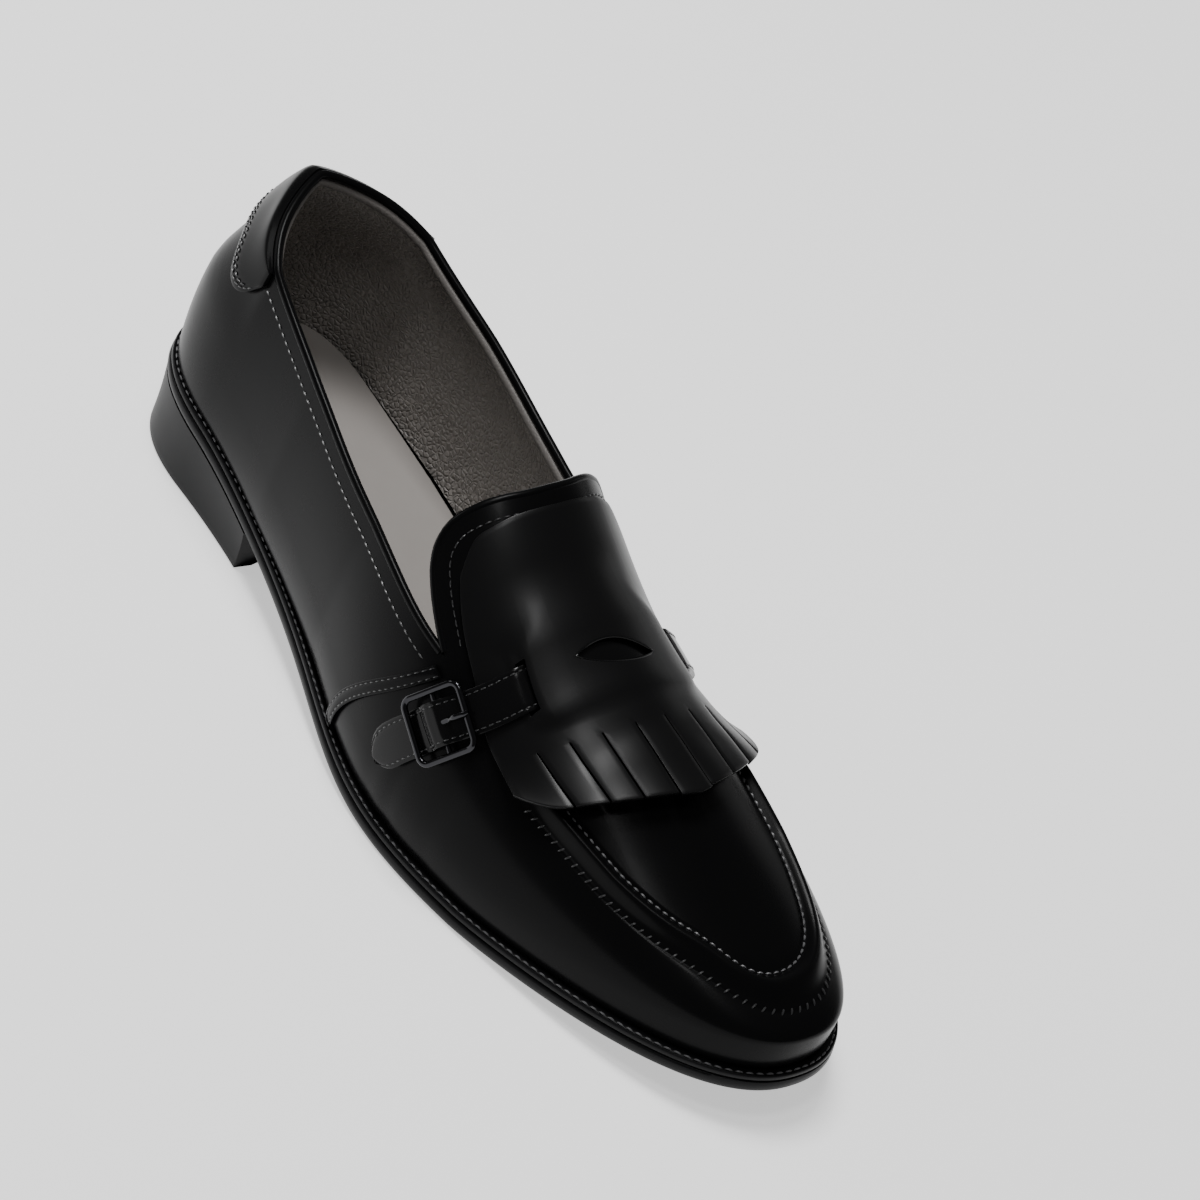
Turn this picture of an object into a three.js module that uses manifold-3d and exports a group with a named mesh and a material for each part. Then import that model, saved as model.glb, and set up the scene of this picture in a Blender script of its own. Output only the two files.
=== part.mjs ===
import * as THREE from "three";
import { mergeVertices } from "three/addons/utils/BufferGeometryUtils.js";
import Module from "manifold-3d";

const wasm = await Module();
wasm.setup();

// A right shoe, in millimetres. +Z is up, the toe points to -Y and the outer side of the foot is -X.
// Driving sizes
const LENGTH = 300; // outsole from heel to toe
const WIDTH = 95; // outsole across the ball
const INSTEP = 85.5; // crown of the form above the upper's lower edge, mid length
const ANKLE = 61.5; // lowest line of the collar above the upper's lower edge
const SIDE_RISE = 18.5; // widest line of the heel above the upper's lower edge
const SIDE_SWELL = 3.4; // how far the sides swell past the upper's lower edge
const HEEL_LIFT = 23.2; // underside of the outsole at the back of the heel
const TOE_SPRING = 11.4; // underside of the outsole at the tip of the toe
const OUTSOLE = 3.8;
const WELT = 1.9;
const INSOLE = 2.5;
const WALL = 2;
const GAP = 0.3;
const HEEL_LEDGE = 2; // shelf of the sole outside the upper at the heel
const FORE_LEDGE = 3.6; // the same round the forefoot
const WELT_TUCK = 6; // how far the welt runs in under the upper
const HEEL_TAPER = 1.4;
const BREAST_BOW = 2.2; // hollow of the heel's front face
const RIDGE = 2.5; // height of the raised apron seam
const FLAP = 1.3; // thickness of the fringed flap
const FLAP_LIFT = 3.1; // how far the fringe stands off the toe
const CUT = 1; // width of a cut between two strips of the fringe
const STRAP_WIDTH = 12.5;
const STRAP = 1.6;
const PINCH = 5; // the top of the heel is drawn in this much between its peak and the ends of the tab
const BUCKLE = 20.6; // outer side of the square frame
const BAR = 1.9; // section of the frame
const PIN = 0.7; // radius of the bar across the frame
const PRONG = 0.6; // radius of the prong
const TAB = 1.2; // thickness of the heel tab
const SEAM_WIDTH = 4;
const SEAM = 0.8;

// The parts stack from the floor up by these levels over the underside of the outsole
const WELT_FLOOR = OUTSOLE + GAP;
const FEATHER = WELT_FLOOR + WELT + GAP;

// The outline, as shares of WIDTH; "at" is the share of LENGTH from the heel in every table
const OUTLINE = [
  { at: 0, half: 0.337, centre: 0.008 },
  { at: 0.12, half: 0.328, centre: 0.016 },
  { at: 0.27, half: 0.36, centre: 0.011 },
  { at: 0.4, half: 0.405, centre: -0.038 },
  { at: 0.52, half: 0.461, centre: -0.077 },
  { at: 0.64, half: 0.5, centre: -0.046 },
  { at: 0.75, half: 0.487, centre: 0.002 },
  { at: 0.87, half: 0.463, centre: 0.032 },
  { at: 1, half: 0.444, centre: 0.042 },
];
// The round ends: how much of the length each takes, and how square its curve is
const HEEL_END = { share: 0.13, power: 2.2 };
const TOE_END = { share: 0.3, power: 2.25 };
// Where the sections turn into fans about one point at the heel and the toe
const FAN_HEEL = 0.16;
const FAN_TOE = 0.8;
// The flat of the forefoot
const FLAT = { from: 0.6, to: 0.7 };
// The underside of the waist, as shares of HEEL_LIFT
const WAIST = [
  { at: 0, lift: 1 },
  { at: 0.12, lift: 0.885 },
  { at: 0.25, lift: 0.578 },
  { at: 0.38, lift: 0.33 },
  { at: 0.5, lift: 0.085 },
  { at: 0.56, lift: 0.012 },
  { at: 0.6, lift: 0 },
];
// The sections of the form: swell is a share of SIDE_SWELL, rise of SIDE_RISE, and square its roundness
const SECTIONS = [
  { at: 0, swell: 0.24, rise: 0.7, square: 2 },
  { at: 0.15, swell: 0.56, rise: 1, square: 2.1 },
  { at: 0.3, swell: 1, rise: 0.98, square: 2.28 },
  { at: 0.45, swell: 1, rise: 0.85, square: 2.22 },
  { at: 0.6, swell: 0.62, rise: 0.65, square: 1.92 },
  { at: 0.75, swell: 0.44, rise: 0.49, square: 1.95 },
  { at: 0.9, swell: 0.18, rise: 0.49, square: 2.28 },
  { at: 1, swell: 0.3, rise: 0.56, square: 2.5 },
];
// The crown over the upper's lower edge, as shares of INSTEP
const CROWN = [
  { at: 0, height: 0.994 },
  { at: 0.12, height: 1.24 },
  { at: 0.25, height: 1.275 },
  { at: 0.4, height: 1.111 },
  { at: 0.5, height: 1 },
  { at: 0.6, height: 0.816 },
  { at: 0.7, height: 0.658 },
  { at: 0.8, height: 0.477 },
  { at: 0.9, height: 0.315 },
  { at: 1, height: 0.186 },
];
// The crown line's lean to the inner side, as shares of WIDTH
const LEAN = [
  { at: 0.2, shift: 0 },
  { at: 0.45, shift: 0.021 },
  { at: 0.7, shift: -0.005 },
  { at: 0.9, shift: 0 },
];
// The collar line over the upper's lower edge, as shares of ANKLE, from the peak at the back
const COLLAR = [
  { at: 0.06, height: 1.14 },
  { at: 0.128, height: 1 },
  { at: 0.25, height: 0.912 },
  { at: 0.35, height: 0.873 },
  { at: 0.45, height: 0.889 },
  { at: 0.56, height: 0.853 },
];
// The free edge of the tongue; "girth" is 0 on the crown line, 1 on the widest line and 2 at the lower edge
const TONGUE = [
  { girth: 0, at: 0.4885 },
  { girth: 0.09, at: 0.487 },
  { girth: 0.18, at: 0.482 },
  { girth: 0.305, at: 0.474 },
  { girth: 0.42, at: 0.469 },
  { girth: 0.48, at: 0.473 },
  { girth: 0.52, at: 0.484 },
  { girth: 0.545, at: 0.504 },
  { girth: 0.576, at: 0.552 },
];
// The apron seam's two edges, as girths, on the outer and the inner side of the foot
const APRON = [
  { at: 0.6, inner_out: 0.5, inner_in: 0.47, width: 0.12 },
  { at: 0.74, inner_out: 0.475, inner_in: 0.44, width: 0.11 },
  { at: 0.82, inner_out: 0.445, inner_in: 0.42, width: 0.135 },
  { at: 0.9, inner_out: 0.4, inner_in: 0.43, width: 0.16 },
  { at: 0.95, inner_out: 0.375, inner_in: 0.44, width: 0.18 },
  { at: 1, inner_out: 0.43, inner_in: 0.43, width: 0.205 },
];
// The flap: half its spread as a girth, down its length
const FLAP_EDGE = [
  { at: 0.49, girth: 0.39 },
  { at: 0.515, girth: 0.435 },
  { at: 0.545, girth: 0.475 },
  { at: 0.593, girth: 0.515 },
  { at: 0.632, girth: 0.565 },
  { at: 0.67, girth: 0.582 },
  { at: 0.7, girth: 0.576 },
  { at: 0.77, girth: 0.56 },
];
// Its two ends across the foot; "across" is the share of that spread
const FLAP_ENDS = [
  { across: 0, top: 0.503, cut: 0.692, tip: 0.766 },
  { across: 0.25, top: 0.501, cut: 0.691, tip: 0.76 },
  { across: 0.5, top: 0.498, cut: 0.685, tip: 0.75 },
  { across: 0.75, top: 0.496, cut: 0.674, tip: 0.734 },
  { across: 0.9, top: 0.499, cut: 0.664, tip: 0.716 },
  { across: 1, top: 0.512, cut: 0.655, tip: 0.69 },
];
// Where the fringe is cut, across the flap from the outer side
const CUTS = [-0.77, -0.58, -0.38, -0.15, 0.1, 0.34, 0.58, 0.79];
// The strap's middle line; outer side negative
const STRAP_LINE = [
  { girth: -0.96, at: 0.553 },
  { girth: -0.86, at: 0.566 },
  { girth: -0.763, at: 0.581 },
  { girth: -0.67, at: 0.594 },
  { girth: -0.54, at: 0.611 },
  { girth: -0.373, at: 0.6225 },
  { girth: -0.2, at: 0.627 },
  { girth: 0, at: 0.628 },
  { girth: 0.2, at: 0.627 },
  { girth: 0.373, at: 0.6225 },
  { girth: 0.54, at: 0.611 },
  { girth: 0.75, at: 0.592 },
  { girth: 1, at: 0.574 },
  { girth: 1.7, at: 0.562 },
];
const BUCKLE_GIRTH = -0.67;
// The side seams, from the throat down to the welt; "height" is over the upper's lower edge, a share of ANKLE
const SEAM_LINE = [
  { height: 0.8, at: 0.558 },
  { height: 0.64, at: 0.534 },
  { height: 0.47, at: 0.507 },
  { height: 0.3, at: 0.484 },
  { height: 0.15, at: 0.471 },
  { height: 0.03, at: 0.466 },
];
// The heel tab's lower edge
const TAB_EDGE = [
  { at: 0, girth: 0.69 },
  { at: 0.02, girth: 0.71 },
  { at: 0.053, girth: 0.755 },
  { at: 0.09, girth: 0.81 },
  { at: 0.115, girth: 0.8 },
  { at: 0.138, girth: 0.745 },
];

const PINCH_LONG = TAB_EDGE[TAB_EDGE.length - 1].at;

const mix = (a, b, s) => a + (b - a) * s;
const clamp = (s) => Math.min(1, Math.max(0, s));
const ease = (s) => clamp(s) * clamp(s) * (3 - 2 * clamp(s));
const span = (from, to, count) => Array.from({ length: count + 1 }, (_, i) => mix(from, to, i / count));

// A smooth curve through one column of a table, held level past its ends
function curve(rows, column, size = 1, key = "at") {
  const x = rows.map((row) => row[key]);
  const y = rows.map((row) => row[column] * size);
  const n = x.length;
  const bend = new Array(n).fill(0);
  const carry = new Array(n).fill(0);
  for (let i = 1; i < n - 1; i += 1) {
    const share = (x[i] - x[i - 1]) / (x[i + 1] - x[i - 1]);
    const pivot = share * bend[i - 1] + 2;
    const turn = (y[i + 1] - y[i]) / (x[i + 1] - x[i]) - (y[i] - y[i - 1]) / (x[i] - x[i - 1]);
    bend[i] = (share - 1) / pivot;
    carry[i] = ((6 * turn) / (x[i + 1] - x[i - 1]) - share * carry[i - 1]) / pivot;
  }
  const second = new Array(n).fill(0);
  for (let i = n - 2; i > 0; i -= 1) {
    second[i] = bend[i] * second[i + 1] + carry[i];
  }
  return (at) => {
    const q = Math.min(x[n - 1], Math.max(x[0], at));
    let i = 0;
    while (i < n - 2 && q > x[i + 1]) {
      i += 1;
    }
    const h = x[i + 1] - x[i];
    const a = (x[i + 1] - q) / h;
    const b = 1 - a;
    const lift = (a ** 3 - a) * second[i] + (b ** 3 - b) * second[i + 1];
    return a * y[i] + b * y[i + 1] + (lift * h * h) / 6;
  };
}

const half = curve(OUTLINE, "half", WIDTH);
const centre = curve(OUTLINE, "centre", WIDTH);
const waist = curve(WAIST, "lift", HEEL_LIFT);
const swell = curve(SECTIONS, "swell", SIDE_SWELL);
const rise = curve(SECTIONS, "rise", SIDE_RISE);
const square = curve(SECTIONS, "square");
const crownRise = curve(CROWN, "height", INSTEP);
const lean = curve(LEAN, "shift", WIDTH);
const collarRise = curve(COLLAR, "height", ANKLE);

const yAt = (at) => LENGTH / 2 - LENGTH * at;
const atY = (y) => 0.5 - y / LENGTH;

function underside(at) {
  if (at < FLAT.from) {
    return Math.max(0, waist(at));
  }
  const past = clamp((at - FLAT.to) / (1 - FLAT.to));
  return TOE_SPRING * past ** 1.25;
}
const lowerEdge = (at) => underside(at) + FEATHER;
const crown = (at) => lowerEdge(at) + crownRise(at);
const collar = (at) => lowerEdge(at) + collarRise(at);

// The way round the outline: 0 is the back of the heel, 0.5 the tip of the toe, the outer side comes first
const HEEL_TURN = 0.2;
const TOE_TURN = 0.7;
const TOE_START = 1 - TOE_END.share;
function roundOf(at, side) {
  let v;
  if (at < HEEL_END.share) {
    const c = clamp(1 - at / HEEL_END.share) ** (HEEL_END.power / 2);
    v = (HEEL_TURN * Math.acos(c)) / (Math.PI / 2);
  } else if (at < TOE_START) {
    v = mix(HEEL_TURN, TOE_TURN, (at - HEEL_END.share) / (TOE_START - HEEL_END.share));
  } else {
    const s = clamp((at - TOE_START) / TOE_END.share) ** (TOE_END.power / 2);
    v = TOE_TURN + ((1 - TOE_TURN) * Math.asin(s)) / (Math.PI / 2);
  }
  return side < 0 ? v / 2 : 1 - v / 2;
}
function outline(turn) {
  const u = turn - Math.floor(turn);
  const side = u < 0.5 ? -1 : 1;
  const v = u < 0.5 ? 2 * u : 2 - 2 * u;
  let at = mix(HEEL_END.share, TOE_START, (v - HEEL_TURN) / (TOE_TURN - HEEL_TURN));
  let full = 1;
  if (v < HEEL_TURN) {
    const a = (v / HEEL_TURN) * (Math.PI / 2);
    at = HEEL_END.share * (1 - Math.cos(a) ** (2 / HEEL_END.power));
    full = Math.sin(a) ** (2 / HEEL_END.power);
  } else if (v > TOE_TURN) {
    const b = ((v - TOE_TURN) / (1 - TOE_TURN)) * (Math.PI / 2);
    at = TOE_START + TOE_END.share * Math.sin(b) ** (2 / TOE_END.power);
    full = Math.max(0, Math.cos(b)) ** (2 / TOE_END.power);
  }
  return { at, side, x: centre(at) + side * half(at) * full, y: yAt(at) };
}
// A place on the outline with its outward direction, and the ray from the form's spine to the lower edge
function station(turn) {
  const p = outline(turn);
  const a = outline(turn - 1e-4);
  const b = outline(turn + 1e-4);
  const length = Math.hypot(b.x - a.x, b.y - a.y);
  const nx = (b.y - a.y) / length;
  const ny = -(b.x - a.x) / length;
  const ledge = mix(HEEL_LEDGE, FORE_LEDGE, clamp((p.at - 0.25) / 0.15));
  const hub = Math.min(FAN_TOE, Math.max(FAN_HEEL, p.at));
  const sx = centre(hub) + lean(hub);
  const sy = yAt(hub);
  const rx = p.x - nx * ledge - sx;
  const ry = p.y - ny * ledge - sy;
  const reach = Math.hypot(rx, ry);
  const foot = lowerEdge(atY(ry + sy));
  return { ...p, nx, ny, ledge, sx, sy, dx: rx / reach, dy: ry / reach, reach, foot };
}
// A place on the form. Girths below 0 are those of the other side; "grow" makes the form larger all round
function onForm(turn, girth, grow = 0) {
  const s = station(girth < 0 ? 1 - turn : turn);
  const g = Math.abs(girth);
  const low = s.foot;
  const wide = low + rise(s.at);
  const swelled = s.reach + swell(s.at) + grow;
  const power = 2 / square(s.at);
  let out;
  let up = 0;
  if (g <= 1) {
    out = swelled * Math.sin((g * Math.PI) / 2) ** power;
    up = Math.max(0, Math.cos((g * Math.PI) / 2)) ** power;
  } else {
    out = mix(s.reach + grow, swelled, Math.sin(((2 - g) * Math.PI) / 2));
  }
  const top = crown(mix(s.at, atY(s.sy + s.dy * out), ease((s.at - 0.12) / 0.06))) + grow;
  const z = g <= 1 ? mix(wide, top, up) : mix(low, wide, 1 - Math.cos(((2 - g) * Math.PI) / 2));
  const near = Math.sin(Math.PI * Math.sqrt(clamp(s.at / PINCH_LONG)));
  const pinched = near * ease((z - low - 0.5 * ANKLE) / (0.5 * ANKLE));
  out *= 1 - (PINCH * pinched) / swelled;
  return new THREE.Vector3(s.sx + s.dx * out, s.sy + s.dy * out, z);
}
// A place that stands a height off the form, square to it
function offForm(turn, girth, height) {
  const p = onForm(turn, girth);
  const e = 2e-3;
  const along = onForm(turn + e, girth).sub(onForm(turn - e, girth));
  const over = onForm(turn, girth + e).sub(onForm(turn, girth - e));
  const out = along.cross(over).normalize();
  const s = station(turn);
  const side = new THREE.Vector3(p.x - s.sx, p.y - s.sy, p.z - s.foot - rise(s.at));
  return p.addScaledVector(out, out.dot(side) < 0 ? -height : height);
}

// A closed solid from loose triangles
function solid(geometry) {
  const plain = geometry.clone();
  plain.deleteAttribute("normal");
  plain.deleteAttribute("uv");
  const merged = mergeVertices(plain, 1e-4);
  const faces = [];
  for (let i = 0; i < merged.index.count; i += 3) {
    const [a, b, c] = [0, 1, 2].map((k) => merged.index.getX(i + k));
    if (a !== b && b !== c && c !== a) {
      faces.push(a, b, c);
    }
  }
  const mesh = (list) =>
    new wasm.Manifold(
      new wasm.Mesh({
        numProp: 3,
        vertProperties: new Float32Array(merged.attributes.position.array),
        triVerts: new Uint32Array(list),
      }),
    );
  const made = mesh(faces);
  if (made.volume() > 0) {
    return made;
  }
  const turned = [];
  for (let i = 0; i < faces.length; i += 3) {
    turned.push(faces[i], faces[i + 2], faces[i + 1]);
  }
  return mesh(turned);
}
class Skin {
  constructor() {
    this.points = [];
  }
  quad(a, b, c, d) {
    for (const p of [a, b, c, a, c, d]) {
      this.points.push(p.x, p.y, p.z);
    }
  }
  // Joins rows of points into a sheet, each row as long as the others
  sheet(rows, flip = false) {
    for (let i = 0; i + 1 < rows.length; i += 1) {
      for (let j = 0; j + 1 < rows[i].length; j += 1) {
        const q = [rows[i][j], rows[i + 1][j], rows[i + 1][j + 1], rows[i][j + 1]];
        this.quad(...(flip ? q.reverse() : q));
      }
    }
  }
  solid() {
    const position = new THREE.Float32BufferAttribute(this.points, 3);
    return solid(new THREE.BufferGeometry().setAttribute("position", position));
  }
}
// Stations down the shoe, closer at the round ends
const STATIONS = [
  ...span(0, HEEL_TURN, 8),
  ...span(HEEL_TURN, 2 * roundOf(FLAT.from, -1), 13).slice(1),
  ...span(2 * roundOf(FLAT.from, -1), TOE_TURN, 3).slice(1),
  ...span(TOE_TURN, 1, 12).slice(1),
];
const loopOf = (list) => [...list.map((v) => v / 2), ...list.slice(0, -1).reverse().map((v) => 1 - v / 2)];
const LOOP = loopOf(STATIONS);

// A body stacked from closed loops round the shoe, shut below by strips across and above by "shut"
function stack(rings, shut = true) {
  const skin = new Skin();
  const loops = rings.map((ring) => LOOP.map((turn) => ring(turn)));
  skin.sheet(loops);
  const strips = (loop, flip) => {
    const last = loop.length - 1;
    const rows = STATIONS.map((_, k) => [loop[k], loop[last - k]]);
    skin.sheet(rows, flip);
  };
  strips(loops[0], false);
  if (shut) {
    strips(loops[loops.length - 1], true);
  }
  return skin.solid();
}
const ring = (inset, level) => (turn) => {
  const s = station(turn);
  const d = typeof inset === "function" ? inset(s) : inset;
  const y = s.y - s.ny * d;
  return new THREE.Vector3(s.x - s.nx * d, y, underside(atY(y)) + level);
};

// Outsole: a slab on the true outline with an eased edge
const outsole = stack([
  ring(0.9, 0),
  ring(0.25, 0.16 * OUTSOLE),
  ring(0, 0.5 * OUTSOLE),
  ring(0.2, 0.8 * OUTSOLE),
  ring(0.7, OUTSOLE),
]);

// Welt: a strip all round that carries the upper and shows as a ledge outside it
const weltInset = (s) => s.ledge + WELT_TUCK;
const weltSkin = new Skin();
weltSkin.sheet(
  [
    ring(0.7, WELT_FLOOR),
    ring(0.35, WELT_FLOOR + 0.45 * WELT),
    ring(0.8, WELT_FLOOR + WELT),
    ring(weltInset, WELT_FLOOR + WELT),
    ring(weltInset, WELT_FLOOR),
    ring(0.7, WELT_FLOOR),
  ].map((place) => LOOP.map(place)),
);
const welt = weltSkin.solid();

// Insole: inside the wall of the upper
const insoleInset = (s) => s.ledge + WALL + 1.6 * GAP;
const insole = stack([ring(insoleInset, FEATHER), ring(insoleInset, FEATHER + INSOLE)]);

// Heel block: tapered, flat below, with a hollow front face
const BREAST = 0.238;
const heelTurns = [...span(0, HEEL_TURN, 8), ...span(HEEL_TURN, 2 * roundOf(BREAST, -1), 4).slice(1)];
function heelSheet(inset, height) {
  return heelTurns.map((v) => {
    const a = ring(inset, 0)(v / 2);
    const b = ring(inset, 0)(1 - v / 2);
    const bow = BREAST_BOW * (outline(v / 2).at / BREAST) ** 4;
    return span(0, 1, 8).map((s) => {
      const p = a.clone().lerp(b, s);
      p.y += bow * (1 - (2 * s - 1) ** 2);
      p.z = height(atY(p.y));
      return p;
    });
  });
}
const heelFoot = heelSheet(HEEL_TAPER, () => 0);
const heelTop = heelSheet(0.5, (at) => underside(at) - GAP);
const heelSkin = new Skin();
heelSkin.sheet(heelFoot);
heelSkin.sheet(heelTop, true);
const rim = (sheet) => [
  ...sheet.map((row) => row[0]),
  ...sheet[sheet.length - 1].slice(1),
  ...sheet.slice(0, -1).reverse().map((row) => row[row.length - 1]),
];
heelSkin.sheet([rim(heelFoot), rim(heelTop)]);
const heelBlock = heelSkin.solid();

// Upper: the outer form less the inner one, cut to the collar line, with the tongue kept
const apronIn = [curve(APRON, "inner_out"), curve(APRON, "inner_in")];
const apronWidth = curve(APRON, "width");
const RIDGE_PROFILE = [
  { share: 0, height: 0 },
  { share: 0.34, height: 0.42 },
  { share: 0.66, height: 1 },
  { share: 0.86, height: 0.86 },
  { share: 1, height: 0 },
];
const ridgeFade = (y) => ease((-y - LENGTH * 0.167) / (LENGTH * 0.073));
function outerPlace(turn, level) {
  const s = station(turn);
  const inner = apronIn[s.side < 0 ? 0 : 1](s.at);
  const outer = inner + apronWidth(s.at);
  const girth = level.under !== undefined
    ? mix(outer, level.top, level.under)
    : level.over !== undefined
      ? inner * level.over
      : mix(outer, inner, level.share);
  const raised = level.height ? level.height * RIDGE * ridgeFade(onForm(turn, girth).y) : 0;
  return raised ? offForm(turn, girth, raised) : onForm(turn, girth);
}
const levels = [
  ...[1, 0.72, 0.45, 0.22].map((s) => ({ under: s, top: 2 })),
  { under: 0.1, top: 2 },
  ...RIDGE_PROFILE,
  ...[0.82, 0.62, 0.42, 0.21, 0].map((s) => ({ over: s })),
];
const outerSkin = new Skin();
const outerLoops = levels.map((level) => LOOP.map((turn) => outerPlace(turn, level)));
outerSkin.sheet(outerLoops);
outerSkin.sheet(STATIONS.map((_, k) => [outerLoops[0][k], outerLoops[0][LOOP.length - 1 - k]]));
const outerForm = outerSkin.solid();

const innerGirths = [1.85, 1.6, 1.25, 1, 0.88, 0.76, 0.64, 0.52, 0.4, 0.27, 0.13, 0];
// Its stations fall between those of the outer form, so that no two edges meet by chance
const innerStations = span(0, 1, 33);
const innerLoop = loopOf(innerStations);
const below = innerLoop.map((turn) => {
  const p = onForm(turn, 2, -WALL);
  p.z -= 4;
  return p;
});
const innerLoops = [below, ...innerGirths.map((g) => innerLoop.map((turn) => onForm(turn, g, -WALL)))];
const innerSkin = new Skin();
innerSkin.sheet(innerLoops);
innerSkin.sheet(innerStations.map((_, k) => [below[k], below[innerLoop.length - 1 - k]]));
const innerForm = innerSkin.solid();

// A straight block over an outline: drawn on X and Y and pushed along Z, or on Y and Z and pushed along X
function block(points, from, to, sideways = false) {
  const shape = new THREE.Shape(points.map(([a, b]) => new THREE.Vector2(a, b)));
  const body = new THREE.ExtrudeGeometry(shape, { depth: to - from, bevelEnabled: false });
  body.translate(0, 0, from);
  if (sideways) {
    const turn = new THREE.Matrix4();
    turn.makeBasis(new THREE.Vector3(0, 1, 0), new THREE.Vector3(0, 0, 1), new THREE.Vector3(1, 0, 0));
    body.applyMatrix4(turn);
  }
  return solid(body);
}
const THROAT = TONGUE[TONGUE.length - 1];
const HIGH = 2 * INSTEP;
const above = block(
  [
    ...span(COLLAR[0].at, THROAT.at, 24).map((at) => [yAt(at), collar(at)]),
    [yAt(THROAT.at), HIGH],
    [LENGTH, HIGH],
    [LENGTH, collar(COLLAR[0].at)],
  ],
  -WIDTH,
  WIDTH,
  true,
);
const tongueSide = (side) =>
  TONGUE.map((row) => {
    const p = onForm(roundOf(row.at, side), row.girth);
    return [p.x, p.y];
  });
const tongueBack = yAt(THROAT.at) - 0.05 * LENGTH;
const tongueOuter = tongueSide(-1).reverse();
const tongueInner = tongueSide(1).slice(1);
const tongue = block(
  [
    [tongueOuter[0][0], tongueBack],
    ...tongueOuter,
    ...tongueInner,
    [tongueInner[tongueInner.length - 1][0], tongueBack],
  ],
  0,
  HIGH,
);
const upper = outerForm.subtract(innerForm).subtract(above.subtract(tongue));

// A patch that lies on the form: rows of places (turn, girth) with the height of its lower face, and its thickness
function patch(rows, height, thick) {
  const layer = (extra) =>
    rows.map((row) => row.map((p) => offForm(p.turn, p.girth, height(p) + extra(p))));
  const lower = layer(() => 0);
  const upperFace = layer(() => thick);
  const skin = new Skin();
  skin.sheet(lower, true);
  skin.sheet(upperFace);
  const edge = (sheet) => [
    ...sheet[0],
    ...sheet.slice(1).map((row) => row[row.length - 1]),
    ...sheet[sheet.length - 1].slice(0, -1).reverse(),
    ...sheet.slice(1, -1).reverse().map((row) => row[0]),
    sheet[0][0],
  ];
  skin.sheet([edge(lower), edge(upperFace)]);
  return skin.solid();
}
// A place by its share down the shoe and its signed girth
const place = (at, girth) => ({
  at,
  signed: girth,
  turn: roundOf(at, girth < 0 ? -1 : 1),
  girth: Math.abs(girth),
});

// Flap: a leaf over the instep with a cut eye, raised where the strap passes under it, and a fringe
const flapEdge = curve(FLAP_EDGE, "girth");
const endCurve = (column) => {
  const c = curve(FLAP_ENDS, column, 1, "across");
  return (s) => c(Math.abs(s));
};
const flapTop = endCurve("top");
const flapCut = endCurve("cut");
const flapTip = endCurve("tip");
const strapAt = curve(STRAP_LINE, "at", 1, "girth");
const SLIT = { from: 0.63, level: 0.75, to: 0.8 };
const across = (p) => Math.abs(p.signed) / flapEdge(p.at);
const overStrap = GAP + STRAP + GAP;
function flapHeight(p) {
  const y = yAt(p.at);
  const fringe = FLAP_LIFT * ease((-y - 0.127 * LENGTH) / (0.1 * LENGTH));
  const away = (Math.abs(p.at - strapAt(p.signed)) * LENGTH - STRAP_WIDTH / 2 - 1.2) / (0.5 * STRAP_WIDTH);
  const under = ease((SLIT.level - across(p)) / (SLIT.level - SLIT.from));
  const arch = (overStrap - GAP) * (1 - ease(away)) * under;
  return GAP + Math.max(fringe, arch) + 0.35 * Math.min(fringe, arch);
}
const flapRow = (s, from, to, count) =>
  span(0, 1, count).map((w) => {
    const at = mix(from(s), to(s), w);
    return place(at, s * flapEdge(at));
  });
const flapShares = [0, 0.15, 0.3, 0.44, 0.55, SLIT.from, 0.69, SLIT.level, 0.88, 1];
const bodyShares = [...flapShares.slice(1).reverse().map((s) => -s), ...flapShares];
const FUSE = 0.1; // the strips are this much thinner on each face where they join the leaf
const overlap = (s) => flapCut(s) + 0.004;
let flap = patch(bodyShares.map((s) => flapRow(s, flapTop, overlap, 12)), flapHeight, FLAP);
const flapReach = flapEdge(FLAT.to) * LENGTH * 0.255;
const cutShare = (0.5 * CUT) / flapReach;
const strips = [-1, ...CUTS, 1];
strips.slice(1).forEach((to, k) => {
  const from = strips[k] + (k > 0 ? cutShare : 0);
  const end = to - (k < CUTS.length ? cutShare : 0);
  const rows = span(from, end, 2).map((s) => flapRow(s, flapCut, flapTip, 4));
  flap = flap.add(patch(rows, (p) => flapHeight(p) + FUSE, FLAP - 2 * FUSE));
});
// A hole cut straight down through the flap
const eyeCentre = onForm(roundOf(strapAt(0), 1), 0);
const EYE = { long: 0.118 * WIDTH, high: 0.26 * STRAP_WIDTH };
const eyeSide = (sign) =>
  span(-1, 1, 12).map((s) => [
    eyeCentre.x + sign * s * EYE.long,
    eyeCentre.y + sign * EYE.high * (1 - s * s) ** 0.9,
  ]);
flap = flap.subtract(block([...eyeSide(1).slice(0, -1).reverse(), ...eyeSide(-1).slice(0, -1).reverse()], 0, HIGH));
// The two slits the strap comes out by
for (const side of [-1, 1]) {
  const mid = strapAt(side * 0.37);
  const reach = (STRAP_WIDTH / 2 + 1.1) / LENGTH;
  const corner = (share, end) => {
    const at = mid + end * reach;
    const p = onForm(roundOf(at, side), share * flapEdge(at));
    return [p.x, p.y];
  };
  const loop = [corner(SLIT.from, -1), corner(SLIT.to, -1), corner(SLIT.to, 1), corner(SLIT.from, 1)];
  flap = flap.subtract(block(side < 0 ? loop.reverse() : loop, 0, HIGH));
}

// Strap: under the flap's middle, out by the slits, over its margins, through the buckle to a round tip
const STRAP_HEIGHTS = [
  { across: 0, height: GAP },
  { across: 0.625, height: GAP },
  { across: 0.765, height: GAP + FLAP + GAP },
  { across: 1, height: GAP + FLAP + GAP },
];
const OVER_PIN = 2.1 + PIN + GAP;
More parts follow.
